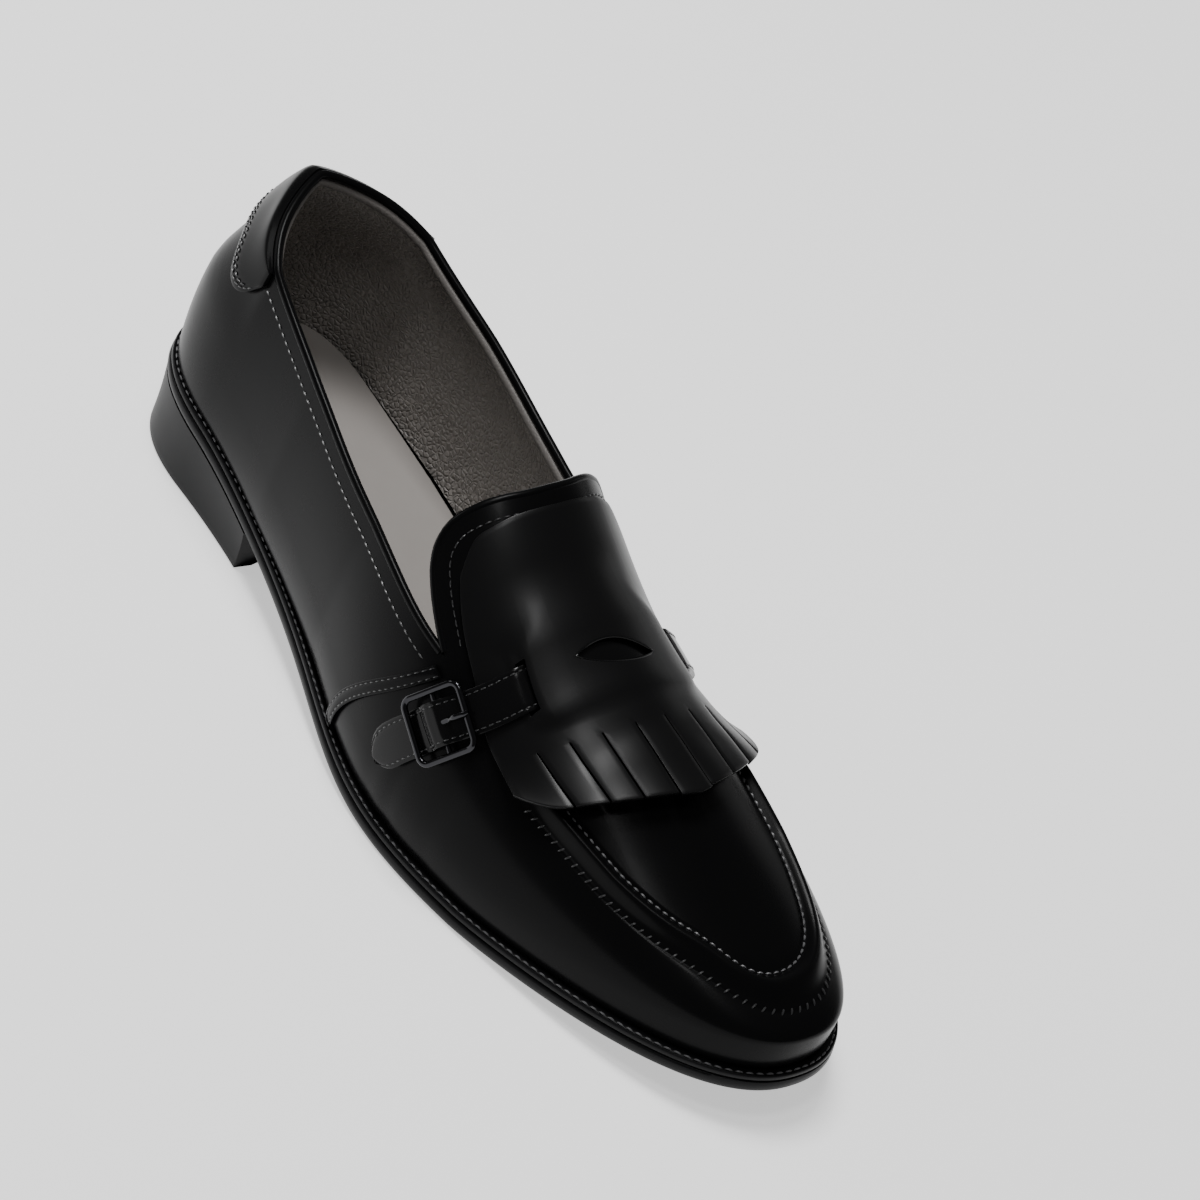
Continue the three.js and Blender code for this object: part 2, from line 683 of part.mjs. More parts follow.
// The hump over the buckle's bar, down the outer side
const HUMP = [
  { down: 0.607, height: GAP + FLAP + GAP },
  { down: 0.642, height: 0.85 * OVER_PIN },
  { down: 0.665, height: OVER_PIN },
  { down: 0.695, height: 0.9 * OVER_PIN },
  { down: 0.732, height: 2 * GAP },
  { down: 0.765, height: GAP },
];
// On the inner side it comes down from the flap to the upper
const SLOPE = [
  { down: 0.58, height: GAP + FLAP + GAP },
  { down: 0.68, height: GAP },
];
function stepped(rows, key, q) {
  let i = 0;
  while (i < rows.length - 2 && q > rows[i + 1][key]) {
    i += 1;
  }
  const s = clamp((q - rows[i][key]) / (rows[i + 1][key] - rows[i][key]));
  return mix(rows[i].height, rows[i + 1].height, ease(s));
}
function strapHeight(p) {
  const down = p.lane < 0 ? HUMP : SLOPE;
  return Math.abs(p.lane) > down[0].down
    ? stepped(down, "down", Math.abs(p.lane))
    : stepped(STRAP_HEIGHTS, "across", across(p));
}
// A step over the form's skin from a place on it, square to a line that runs along the girth
function beside(at, girth, slope, width) {
  const e = 1e-3;
  const here = onForm(roundOf(at, girth < 0 ? -1 : 1), Math.abs(girth));
  const p = (a, g) => {
    const q = place(a, g);
    return onForm(q.turn, q.girth);
  };
  const byAt = p(at + e, girth).sub(here).divideScalar(e);
  const byGirth = p(at, girth + e).sub(here).divideScalar(e);
  const line = byGirth.clone().addScaledVector(byAt, slope).normalize();
  const square = byAt.clone().addScaledVector(line, -byAt.dot(line)).normalize();
  const aa = byAt.dot(byAt);
  const ag = byAt.dot(byGirth);
  const gg = byGirth.dot(byGirth);
  const det = aa * gg - ag * ag;
  const pa = square.dot(byAt) * width;
  const pg = square.dot(byGirth) * width;
  return place(at + (pa * gg - pg * ag) / det, girth + (pg * aa - pa * ag) / det);
}
// A band of even width that follows a line over the form
function band(girths, line, width, sides) {
  return girths.map((g) => {
    const slope = (line(g + 0.01) - line(g - 0.01)) / 0.02;
    return span(-1, 1, sides).map((s) => ({ ...beside(line(g), g, slope, s * width(g)), lane: g }));
  });
}
const TIP = STRAP_LINE[0].girth;
const strapEnd = STRAP_LINE[STRAP_LINE.length - 1].girth;
const tipGirths = [0, 0.006, 0.02, 0.045, 0.08].map((d) => TIP + d);
const strapGirths = [
  ...tipGirths,
  ...span(TIP + 0.12, -0.8, 1),
  ...span(-0.78, -0.56, 14),
  ...span(-0.53, -0.29, 9),
  ...span(-0.22, 0.22, 6),
  ...span(0.29, 0.5, 8),
  ...span(0.58, 0.68, 3),
  ...span(0.78, strapEnd, 7),
];
const tipWidth = (g) => {
  const s = clamp((g - TIP) / 0.08);
  return (STRAP_WIDTH / 2) * Math.max(0.3, Math.sqrt(1 - (1 - s) ** 2));
};
let strap = patch(band(strapGirths, strapAt, tipWidth, 4), strapHeight, STRAP);

// Buckle: a square frame with a bar across it and a prong that lies through the strap on its upper bar
const seat = place(strapAt(BUCKLE_GIRTH), BUCKLE_GIRTH);
const seatPoint = onForm(seat.turn, seat.girth);
const seatOut = offForm(seat.turn, seat.girth, 1).sub(seatPoint);
const ahead = place(strapAt(BUCKLE_GIRTH + 0.09), BUCKLE_GIRTH + 0.09);
const behind = place(strapAt(BUCKLE_GIRTH - 0.09), BUCKLE_GIRTH - 0.09);
const upStrap = onForm(ahead.turn, ahead.girth).sub(onForm(behind.turn, behind.girth));
upStrap.addScaledVector(seatOut, -upStrap.dot(seatOut)).normalize();
const overStrapAxis = seatOut.clone().cross(upStrap).normalize();
const buckleTurn = new THREE.Matrix4().makeBasis(upStrap, overStrapAxis, seatOut);
buckleTurn.setPosition(seatPoint);
const FRAME_RISE = 2.5; // underside of the frame over the upper at the bar
const FRAME_TILT = 0.1; // the frame leans up towards the flap
const frameLean = new THREE.Matrix4().makeRotationY(-FRAME_TILT);
frameLean.setPosition(0, 0, FRAME_RISE);
function squareRing(outer, inner, radius) {
  const side = (size, r, Kind) => {
    const h = size / 2;
    const s = new Kind();
    s.moveTo(-h + r, -h);
    s.lineTo(h - r, -h);
    s.absarc(h - r, -h + r, r, -Math.PI / 2, 0, false);
    s.lineTo(h, h - r);
    s.absarc(h - r, h - r, r, 0, Math.PI / 2, false);
    s.lineTo(-h + r, h);
    s.absarc(-h + r, h - r, r, Math.PI / 2, Math.PI, false);
    s.lineTo(-h, -h + r);
    s.absarc(-h + r, -h + r, r, Math.PI, 1.5 * Math.PI, false);
    return s;
  };
  const shape = side(outer, radius, THREE.Shape);
  shape.holes.push(side(inner, radius * 0.5, THREE.Path));
  return shape;
}
const EASE = 0.35;
const frameBody = new THREE.ExtrudeGeometry(squareRing(BUCKLE, BUCKLE - 2 * BAR, 3), {
  depth: BAR - 2 * EASE,
  bevelEnabled: true,
  bevelThickness: EASE,
  bevelSize: EASE,
  bevelOffset: -EASE,
  bevelSegments: 1,
  curveSegments: 4,
});
frameBody.translate(0, 0, EASE);
frameBody.applyMatrix4(frameLean).applyMatrix4(buckleTurn);
const pinBody = new THREE.CylinderGeometry(PIN, PIN, BUCKLE - BAR, 10);
pinBody.translate(0, 0, FRAME_RISE + 0.35 - PIN);
pinBody.applyMatrix4(buckleTurn);
const frame = solid(frameBody).add(solid(pinBody));
const pinLevel = FRAME_RISE + 0.35 - PIN;
const hook = PIN + GAP + PRONG;
const barTop = FRAME_RISE + BAR + ((BUCKLE - BAR) / 2) * Math.tan(FRAME_TILT);
const hookPoints = span(1.06 * Math.PI, 0.5 * Math.PI, 5).map(
  (a) => new THREE.Vector3(hook * Math.cos(a), 0, pinLevel + hook * Math.sin(a)),
);
const prongPath = new THREE.CatmullRomCurve3(
  [
    ...hookPoints,
    new THREE.Vector3(0.3 * BUCKLE, 0, barTop + GAP + PRONG + 0.1),
    new THREE.Vector3(0.5 * BUCKLE + 0.4, 0, barTop + GAP + PRONG + 0.1),
  ].map((p) => p.applyMatrix4(buckleTurn)),
);
const rod = (radius) => {
  const round = new THREE.Shape().absarc(0, 0, radius, 0, 2 * Math.PI, false);
  return solid(
    new THREE.ExtrudeGeometry(round, { steps: 12, bevelEnabled: false, extrudePath: prongPath, curveSegments: 6 }),
  );
};
const prong = rod(PRONG);
strap = strap.subtract(rod(PRONG + GAP));

// Side seams: raised strips from the throat to the welt
const girthAtHeight = (turn, height) => {
  let low = 0.2;
  let high = 2;
  for (let k = 0; k < 30; k += 1) {
    const g = (low + high) / 2;
    if (onForm(turn, g).z > height) {
      low = g;
    } else {
      high = g;
    }
  }
  return high;
};
const seamAt = curve([...SEAM_LINE].reverse(), "at", 1, "height");
const seam = (side) => {
  const top = SEAM_LINE[0].height;
  const foot = SEAM_LINE[SEAM_LINE.length - 1].height;
  const rows = span(top, foot, 14).map((height) =>
    [-1, 0, 1].map((s) => {
      const lean = (seamAt(height + 0.01) - seamAt(height - 0.01)) * LENGTH;
      const tilt = Math.atan2(lean, 0.02 * ANKLE);
      const at = seamAt(height) - (s * side * SEAM_WIDTH * Math.cos(tilt)) / 2 / LENGTH;
      const rise = height * ANKLE + (s * side * SEAM_WIDTH * Math.sin(tilt)) / 2;
      const turn = roundOf(at, side);
      return { turn, girth: girthAtHeight(turn, lowerEdge(at) + Math.max(0.9, rise)) };
    }),
  );
  return patch(rows, () => GAP, SEAM);
};

// Heel tab: a padded patch from the collar line down round the back of the heel
const tabEdge = curve(TAB_EDGE, "girth");
const tabWide = TAB_EDGE[TAB_EDGE.length - 1].at;
const collarGirth = (turn) => {
  let low = 0.2;
  let high = 1;
  for (let k = 0; k < 30; k += 1) {
    const g = (low + high) / 2;
    const p = onForm(turn, g);
    if (p.z > collar(Math.max(COLLAR[0].at, atY(p.y)))) {
      low = g;
    } else {
      high = g;
    }
  }
  return high;
};
const tabRim = roundOf(tabWide, -1);
const tabRows = span(-tabRim, tabRim, 24).map((turn) => {
  const at = outline(turn).at;
  const top = collarGirth(turn) + 0.012;
  const foot = Math.max(top + 0.02, tabEdge(at));
  return span(top, foot, 4).map((girth) => ({ turn, girth }));
});
const tab = patch(tabRows, () => 1.4 * GAP, TAB);

// The pieces stand on the floor with the middle of the whole over the origin
const PIECES = [
  { name: "outsole", body: outsole, color: 0x5a4a42 },
  { name: "welt", body: welt, color: 0x2a2422 },
  { name: "heel_block", body: heelBlock, color: 0x403c3a },
  { name: "insole", body: insole, color: 0x9a8f84 },
  { name: "upper", body: upper, color: 0x17171a },
  { name: "heel_tab", body: tab, color: 0x1d1d20 },
  { name: "side_seam_lateral", body: seam(-1), color: 0x202024 },
  { name: "side_seam_medial", body: seam(1), color: 0x202024 },
  { name: "kiltie", body: flap, color: 0x1a1a1d },
  { name: "strap", body: strap, color: 0x141416 },
  { name: "buckle_frame", body: frame, color: 0x55565a, metalness: 1 },
  { name: "buckle_prong", body: prong, color: 0x606166, metalness: 1 },
];
const boxes = PIECES.map((piece) => piece.body.boundingBox());
const middle = [0, 1].map(
  (k) => (Math.min(...boxes.map((b) => b.min[k])) + Math.max(...boxes.map((b) => b.max[k]))) / 2,
);
const group = new THREE.Group();
for (const piece of PIECES) {
  const made = piece.body.translate([-middle[0], -middle[1], 0]).getMesh();
  const places = new Float32Array(made.numVert * 3);
  for (let i = 0; i < made.numVert; i += 1) {
    places.set(made.vertProperties.subarray(i * made.numProp, i * made.numProp + 3), 3 * i);
  }
  const geometry = new THREE.BufferGeometry();
  geometry.setAttribute("position", new THREE.BufferAttribute(places, 3));
  geometry.setIndex(new THREE.BufferAttribute(new Uint32Array(made.triVerts), 1));
  geometry.computeVertexNormals();
  const material = new THREE.MeshStandardMaterial({ color: piece.color, metalness: piece.metalness ?? 0 });
  const mesh = new THREE.Mesh(geometry, material);
  mesh.name = piece.name;
  group.add(mesh);
}

export default group;
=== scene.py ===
# %% [markdown]
# # A single monk strap shoe
# This notebook dresses a packed shoe model in polished leather. The shoe is a black loafer
# with a strap, a fringed flap and a raised seam round the toe. Every curved piece is drawn
# on one smooth surface, the form of the foot, so that the pieces follow each other closely.

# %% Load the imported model
import bpy
import math
import numpy as np
from mathutils import Matrix, Vector


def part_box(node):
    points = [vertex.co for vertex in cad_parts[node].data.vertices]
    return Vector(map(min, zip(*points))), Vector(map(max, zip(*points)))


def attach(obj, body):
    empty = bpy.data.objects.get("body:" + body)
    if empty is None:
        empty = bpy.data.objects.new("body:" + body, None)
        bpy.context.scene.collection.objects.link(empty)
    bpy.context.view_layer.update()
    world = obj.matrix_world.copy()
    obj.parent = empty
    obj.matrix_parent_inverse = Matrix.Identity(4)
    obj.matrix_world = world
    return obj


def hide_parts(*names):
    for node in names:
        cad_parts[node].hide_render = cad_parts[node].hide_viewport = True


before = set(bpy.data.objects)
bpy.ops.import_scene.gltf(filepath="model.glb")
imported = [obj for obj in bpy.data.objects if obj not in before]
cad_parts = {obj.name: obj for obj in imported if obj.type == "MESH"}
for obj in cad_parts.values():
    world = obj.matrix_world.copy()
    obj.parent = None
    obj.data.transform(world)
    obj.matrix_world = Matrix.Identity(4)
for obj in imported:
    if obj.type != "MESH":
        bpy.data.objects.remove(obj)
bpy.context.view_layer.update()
MM = 0.001
random = np.random.default_rng(7)

# %% [markdown]
# ## The form of the foot
# The sizes are in millimetres. A table row gives a value at a share of the length from the
# heel, and a smooth curve joins the rows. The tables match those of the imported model.

# %% Sizes and tables
LENGTH = 300.0
WIDTH = 95.0
INSTEP = 85.5
ANKLE = 61.5
SIDE_RISE = 18.5
SIDE_SWELL = 3.4
HEEL_LIFT = 23.2
TOE_SPRING = 11.4
OUTSOLE = 3.8
WELT = 1.9
GAP = 0.3
WALL = 2.0
FEATHER = OUTSOLE + GAP + WELT + GAP
HEEL_LEDGE = 2.0
FORE_LEDGE = 3.6
RIDGE = 2.5
FLAP = 1.3
STRAP = 1.6
STRAP_WIDTH = 12.5
SHARES = (0, .12, .27, .4, .52, .64, .75, .87, 1)
HALF = (.337, .328, .36, .405, .461, .5, .487, .463, .444)
CENTRE = (.008, .016, .011, -.038, -.077, -.046, .002, .032, .042)
HEEL_END = (.13, 2.2)
TOE_END = (.3, 2.25)
FANS = (.16, .8)
FLAT = (.6, .7)
WAIST_AT = (0, .12, .25, .38, .5, .56, .6)
WAIST_LIFT = (1, .885, .578, .33, .085, .012, 0)
SECTION_AT = (0, .15, .3, .45, .6, .75, .9, 1)
SECTION_SWELL = (.24, .56, 1, 1, .62, .44, .18, .3)
SECTION_RISE = (.7, 1, .98, .85, .65, .49, .49, .56)
SECTION_SQUARE = (2, 2.1, 2.28, 2.22, 1.92, 1.95, 2.28, 2.5)
CROWN_AT = (0, .12, .25, .4, .5, .6, .7, .8, .9, 1)
CROWN_HEIGHT = (.994, 1.24, 1.275, 1.111, 1, .816, .658, .477, .315, .186)
LEAN_AT = (.2, .45, .7, .9)
LEAN_SHIFT = (0, .021, -.005, 0)
COLLAR_AT = (.06, .128, .25, .35, .45, .56)
COLLAR_HEIGHT = (1.14, 1, .912, .873, .889, .853)
TONGUE_GIRTH = (0, .09, .18, .305, .42, .48, .52, .545, .576)
TONGUE_AT = (.4885, .487, .482, .474, .469, .473, .484, .504, .552)
THROAT = .552
PINCH = 8.0
TAB_LONG = .138


# %% Smooth curves
def curve(x, y, scale=1.0):
    x = np.asarray(x, float)
    y = np.asarray(y, float) * scale
    h = np.diff(x)
    n = len(x)
    a = np.eye(n)
    b = np.zeros(n)
    for i in range(1, n - 1):
        a[i, i - 1:i + 2] = (h[i - 1], 2 * (h[i - 1] + h[i]), h[i])
        b[i] = 6 * ((y[i + 1] - y[i]) / h[i] - (y[i] - y[i - 1]) / h[i - 1])
    m = np.linalg.solve(a, b)

    def at(q):
        q = np.clip(np.asarray(q, float), x[0], x[-1])
        i = np.clip(np.searchsorted(x, q, side="right") - 1, 0, n - 2)
        u = (x[i + 1] - q) / h[i]
        v = 1 - u
        return u * y[i] + v * y[i + 1] + ((u**3 - u) * m[i] + (v**3 - v) * m[i + 1]) * h[i]**2 / 6
    return at


def steady(x, y):
    """A smooth curve through rows that never swings past them."""
    x, y = np.array(x, float), np.array(y, float)
    h, d = np.diff(x), np.diff(y) / np.diff(x)
    w1, w2 = 2 * h[1:] + h[:-1], h[1:] + 2 * h[:-1]
    same = d[:-1] * d[1:] > 0
    inner = np.where(same, (w1 + w2) / (w1 / np.where(same, d[:-1], 1) + w2 / np.where(same, d[1:], 1)), 0)
    m = np.concatenate([[d[0] if x[0] else 0], inner, [d[-1]]])

    def at(q):
        q = np.clip(np.asarray(q, float), x[0], x[-1])
        i = np.clip(np.searchsorted(x, q, side="right") - 1, 0, len(x) - 2)
        t = (q - x[i]) / h[i]
        return (y[i] * (1 + 2 * t) * (1 - t)**2 + m[i] * h[i] * t * (1 - t)**2
                + y[i + 1] * t * t * (3 - 2 * t) - m[i + 1] * h[i] * t * t * (1 - t))
    return at


def ease(s):
    s = np.clip(s, 0, 1)
    return s * s * (3 - 2 * s)


half = curve(SHARES, HALF, WIDTH)
centre = curve(SHARES, CENTRE, WIDTH)
waist = curve(WAIST_AT, WAIST_LIFT, HEEL_LIFT)
swell = curve(SECTION_AT, SECTION_SWELL, SIDE_SWELL)
rise = curve(SECTION_AT, SECTION_RISE, SIDE_RISE)
square = curve(SECTION_AT, SECTION_SQUARE)
crown_rise = curve(CROWN_AT, CROWN_HEIGHT, INSTEP)
lean = curve(LEAN_AT, LEAN_SHIFT, WIDTH)
collar_rise = curve(COLLAR_AT, COLLAR_HEIGHT, ANKLE)
tongue_at = steady(TONGUE_GIRTH, TONGUE_AT)


def y_at(at):
    return LENGTH / 2 - LENGTH * at


def at_y(y):
    return .5 - y / LENGTH


def underside(at):
    past = np.clip((at - FLAT[1]) / (1 - FLAT[1]), 0, 1)
    return np.where(at < FLAT[0], np.maximum(0, waist(at)), TOE_SPRING * past**1.25)


def lower_edge(at):
    return underside(at) + FEATHER


def collar(at):
    return lower_edge(at) + collar_rise(at)


# %% [markdown]
# ## Places on the form
# A turn of 0 is the back of the heel and 0.5 the tip of the toe, and the outer side comes
# first. A girth is 0 on the crown line, 1 on the widest line and 2 at the lower edge.
# Girths below 0 belong to the other side of the same turn.

# %% The surface
HEEL_TURN = .2
TOE_TURN = .7
TOE_START = 1 - TOE_END[0]


def turn_of(at, side):
    at = np.asarray(at, float)
    back = HEEL_TURN * np.arccos(np.clip(1 - at / HEEL_END[0], 0, 1)**(HEEL_END[1] / 2)) / (np.pi / 2)
    mid = HEEL_TURN + (TOE_TURN - HEEL_TURN) * (at - HEEL_END[0]) / (TOE_START - HEEL_END[0])
    toe = np.arcsin(np.clip((at - TOE_START) / TOE_END[0], 0, 1)**(TOE_END[1] / 2)) / (np.pi / 2)
    v = np.where(at < HEEL_END[0], back, np.where(at < TOE_START, mid, TOE_TURN + (1 - TOE_TURN) * toe))
    return np.where(np.asarray(side) < 0, v / 2, 1 - v / 2)


def outline(turn):
    u = np.mod(turn, 1.0)
    side = np.where(u < .5, -1.0, 1.0)
    v = np.where(u < .5, 2 * u, 2 - 2 * u)
    a = np.clip(v / HEEL_TURN, 0, 1) * np.pi / 2
    b = np.clip((v - TOE_TURN) / (1 - TOE_TURN), 0, 1) * np.pi / 2
    mid = HEEL_END[0] + (TOE_START - HEEL_END[0]) * (v - HEEL_TURN) / (TOE_TURN - HEEL_TURN)
    back = HEEL_END[0] * (1 - np.cos(a)**(2 / HEEL_END[1]))
    toe = TOE_START + TOE_END[0] * np.sin(b)**(2 / TOE_END[1])
    at = np.where(v < HEEL_TURN, back, np.where(v < TOE_TURN, mid, toe))
    full = np.where(v < HEEL_TURN, np.sin(a)**(2 / HEEL_END[1]),
                    np.where(v < TOE_TURN, 1, np.clip(np.cos(b), 0, 1)**(2 / TOE_END[1])))
    return at, side, centre(at) + side * half(at) * full, y_at(at)


def station(turn):
    at, side, x, y = outline(turn)
    _, _, xa, ya = outline(turn - 1e-4)
    _, _, xb, yb = outline(turn + 1e-4)
    length = np.hypot(xb - xa, yb - ya)
    nx = (yb - ya) / length
    ny = -(xb - xa) / length
    ledge = HEEL_LEDGE + (FORE_LEDGE - HEEL_LEDGE) * np.clip((at - .25) / .15, 0, 1)
    hub = np.clip(at, *FANS)
    sx = centre(hub) + lean(hub)
    sy = y_at(hub)
    rx = x - nx * ledge - sx
    ry = y - ny * ledge - sy
    reach = np.hypot(rx, ry)
    return dict(at=at, side=side, x=x, y=y, nx=nx, ny=ny, ledge=ledge, sx=sx, sy=sy,
                dx=rx / reach, dy=ry / reach, reach=reach, foot=lower_edge(at_y(ry + sy)))


def on_form(turn, girth, grow=0.0):
    turn, girth = np.broadcast_arrays(np.asarray(turn, float), np.asarray(girth, float))
    s = station(np.where(girth < 0, 1 - turn, turn))
    g = np.abs(girth)
    low = s["foot"]
    wide = low + rise(s["at"])
    swelled = s["reach"] + swell(s["at"]) + grow
    power = 2 / square(s["at"])
    q = np.clip(g, 0, 1) * np.pi / 2
    r = (2 - np.clip(g, 1, 2)) * np.pi / 2
    upper = g <= 1
    lobe = s["reach"] + grow + (swelled - s["reach"] - grow) * np.sin(r)
    out = np.where(upper, swelled * np.sin(q)**power, lobe)
    at = s["at"] + (at_y(s["sy"] + s["dy"] * out) - s["at"]) * ease((s["at"] - .12) / .06)
    top = lower_edge(at) + crown_rise(at) + grow
    up = np.clip(np.cos(q), 0, 1)**power
    z = np.where(upper, wide + (top - wide) * up, low + (wide - low) * (1 - np.cos(r)))
    share = np.sqrt(np.clip(s["at"] / TAB_LONG, 0, 1))
    out = out * (1 - PINCH / swelled * np.sin(np.pi * share) * ease((z - low - .5 * ANKLE) / (.5 * ANKLE)))
    return np.stack([s["sx"] + s["dx"] * out, s["sy"] + s["dy"] * out, z], -1)


def normal_at(turn, girth, e=1.5e-3):
    along = on_form(turn + e, girth) - on_form(turn - e, girth)
    over = on_form(turn, girth + e) - on_form(turn, girth - e)
    out = np.cross(along, over)
    out /= np.linalg.norm(out, axis=-1, keepdims=True) + 1e-12
    turn, girth = np.broadcast_arrays(np.asarray(turn, float), np.asarray(girth, float))
    s = station(np.where(girth < 0, 1 - turn, turn))
    p = on_form(turn, girth)
    away = np.stack([p[..., 0] - s["sx"], p[..., 1] - s["sy"], p[..., 2] - s["foot"] - rise(s["at"])], -1)
    return out * np.where((out * away).sum(-1, keepdims=True) < 0, -1, 1)


def off_form(turn, girth, height):
    return on_form(turn, girth) + normal_at(turn, girth) * np.asarray(height)[..., None]


def signed(at, girth):
    return turn_of(at, np.where(girth < 0, -1, 1)), np.abs(girth)


def lay(at, girth, height):
    turn, g = signed(at, girth)
    return off_form(turn, g, height)


# %% [markdown]
# ## Building helpers
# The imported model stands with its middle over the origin, so the form is shifted to match
# it before anything is drawn. A grid of points becomes a smooth sheet of faces.

# %% Mesh helpers
outline_x = outline(np.linspace(0, 1, 2001))[2]
low_corner, high_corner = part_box("outsole")
SHIFT = np.array([(low_corner[0] + high_corner[0]) / 2 / MM - (outline_x.min() + outline_x.max()) / 2, 0, 0])


def build(name, points, faces, slots=None, smooth=True):
    mesh = bpy.data.meshes.new(name)
    mesh.from_pydata(((np.asarray(points) + SHIFT) * MM).tolist(), [], faces)
    mesh.validate()
    obj = bpy.data.objects.new(name, mesh)
    bpy.context.collection.objects.link(obj)
    if slots is not None:
        mesh.polygons.foreach_set("material_index", slots)
    bpy.ops.object.select_all(action="DESELECT")
    obj.select_set(True)
    bpy.context.view_layer.objects.active = obj
    bpy.ops.object.mode_set(mode="EDIT")
    bpy.ops.mesh.select_all(action="SELECT")
    bpy.ops.mesh.remove_doubles(threshold=2e-6)
    bpy.ops.mesh.select_all(action="SELECT")
    bpy.ops.mesh.normals_make_consistent(inside=False)
    bpy.ops.object.mode_set(mode="OBJECT")
    if smooth:
        bpy.ops.object.shade_smooth_by_angle(angle=math.radians(40))
    return obj


def grid(rows, keep=None, start=0):
    rows = np.asarray(rows)
    n, m = rows.shape[:2]
    faces = [(start + i * m + j, start + (i + 1) * m + j, start + (i + 1) * m + j + 1, start + i * m + j + 1)
             for i in range(n - 1) for j in range(m - 1) if keep is None or keep(i, j)]
    return rows.reshape(-1, 3), faces


def modifier(obj, kind, **values):
    bpy.ops.object.select_all(action="DESELECT")
    obj.select_set(True)
    bpy.context.view_layer.objects.active = obj
    m = obj.modifiers.new(kind.lower(), kind)
    for key, value in values.items():
        setattr(m, key, value)
    bpy.ops.object.modifier_apply(modifier=m.name)
    return obj


def face_outward(obj, middle):
    """Turns an open sheet's faces away from a point inside the shoe."""
    mesh = obj.data
    total = sum((f.center - middle).dot(f.normal) * f.area for f in mesh.polygons)
    if total < 0:
        mesh.flip_normals()


INSIDE = Vector((SHIFT[0] * MM, 0, .03))


def sheet_piece(name, rows, thick, keep=None, bevel=.25, segments=2):
    """A leather sheet: its outer face is the grid of points, and it has a thickness and eased edges."""
    points, faces = grid(rows, keep)
    obj = build(name, points, faces)
    face_outward(obj, INSIDE)
    modifier(obj, "SOLIDIFY", thickness=thick * MM, offset=-1, use_even_offset=False)
    if bevel:
        modifier(obj, "BEVEL", width=bevel * MM, segments=segments, limit_method="ANGLE",
                 angle_limit=math.radians(55), harden_normals=False)
    bpy.ops.object.shade_smooth_by_angle(angle=math.radians(40))
    return obj


def finish_piece(obj, slot, *nodes):
    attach(obj, "root")
    if nodes:
        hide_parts(*nodes)
    return obj


def tube(name, path, radius, closed=False, sides=12, squash=None, up=None):
    """A round bead along a path of points."""
    path = np.asarray(path, float)
    ahead = np.roll(path, -1, 0) if closed else np.vstack([path[1:], 2 * path[-1] - path[-2]])
    back = np.roll(path, 1, 0) if closed else np.vstack([2 * path[0] - path[1], path[:-1]])
    t = ahead - back
    t /= np.linalg.norm(t, axis=1, keepdims=True)
    side = np.cross(t, up if up is not None else np.array([0, 0, 1.0]))
    side /= np.linalg.norm(side, axis=1, keepdims=True) + 1e-9
    top = np.cross(side, t)
    r = np.broadcast_to(np.asarray(radius, float), (len(path),))[:, None, None]
    a = np.linspace(0, 2 * np.pi, sides, endpoint=False)
    k = squash or (1, 1)
    rings = path[:, None] + r * (k[0] * np.cos(a)[None, :, None] * side[:, None] + k[1] * np.sin(a)[None, :, None] * top[:, None])
    n = len(path)
    faces = []
    for i in range(n if closed else n - 1):
        for j in range(sides):
            i2, j2 = (i + 1) % n, (j + 1) % sides
            faces.append((i * sides + j, i2 * sides + j, i2 * sides + j2, i * sides + j2))
    if not closed:
        faces.append(tuple(range(sides)))
        faces.append(tuple((n - 1) * sides + j for j in range(sides)))
    return build(name, rings.reshape(-1, 3), faces)


def resample(path, step):
    path = np.asarray(path)
    s = np.concatenate([[0], np.cumsum(np.linalg.norm(np.diff(path, axis=0), axis=1))])
    n = max(2, int(round(s[-1] / step)))
    q = np.linspace(0, s[-1], n + 1)
    return np.stack([np.interp(q, s, path[:, k]) for k in range(3)], 1), q


def stitch_mesh(lines, pitch, length, radius, angle=0.0, sink=0.35):
    """Points and faces of short thread loops along lines, each line a list of places with their normals."""
    sides, rings = 6, 5
    a = np.linspace(0, 2 * np.pi, sides, endpoint=False)
    b = np.linspace(-1, 1, rings)
    body = []
    for v in b:
        w = math.sqrt(max(0.0, 1 - v**2)) * .75 + .25 * (abs(v) < 1)
        body.append(np.stack([np.full(sides, v * length / 2), w * radius * np.cos(a), w * radius * np.sin(a)], 1))
    body = np.concatenate(body)
    body[:, 2] -= radius * .9 * (2 * body[:, 0] / length)**2
    quads = [(i * sides + j, (i + 1) * sides + j, (i + 1) * sides + (j + 1) % sides, i * sides + (j + 1) % sides)
             for i in range(rings - 1) for j in range(sides)]
    points, faces = [], []
    for path, normals in lines:
        path = np.asarray(path)
        s = np.concatenate([[0], np.cumsum(np.linalg.norm(np.diff(path, axis=0), axis=1))])
        n = max(1, int(s[-1] / pitch))
        q = (np.arange(n) + .5) * s[-1] / n
        p = np.stack([np.interp(q, s, path[:, k]) for k in range(3)], 1)
        m = np.stack([np.interp(q, s, normals[:, k]) for k in range(3)], 1)
        t = np.stack([np.interp(q + .5, s, path[:, k]) - np.interp(q - .5, s, path[:, k]) for k in range(3)], 1)
        m /= np.linalg.norm(m, axis=1, keepdims=True)
        t -= m * (t * m).sum(1, keepdims=True)
        t /= np.linalg.norm(t, axis=1, keepdims=True) + 1e-9
        c = np.cross(m, t)
        turn = angle + random.normal(0, .05, n)
        u = t * np.cos(turn)[:, None] + c * np.sin(turn)[:, None]
        w = np.cross(m, u)
        for k in range(n):
            start = len(points) * len(body)
            lift = m[k] * radius * (1 - sink)
            points.append(p[k] + lift + body[:, :1] * u[k] + body[:, 1:2] * w[k] + body[:, 2:] * m[k])
            faces += [tuple(start + v for v in f) for f in quads]
    return np.concatenate(points), faces


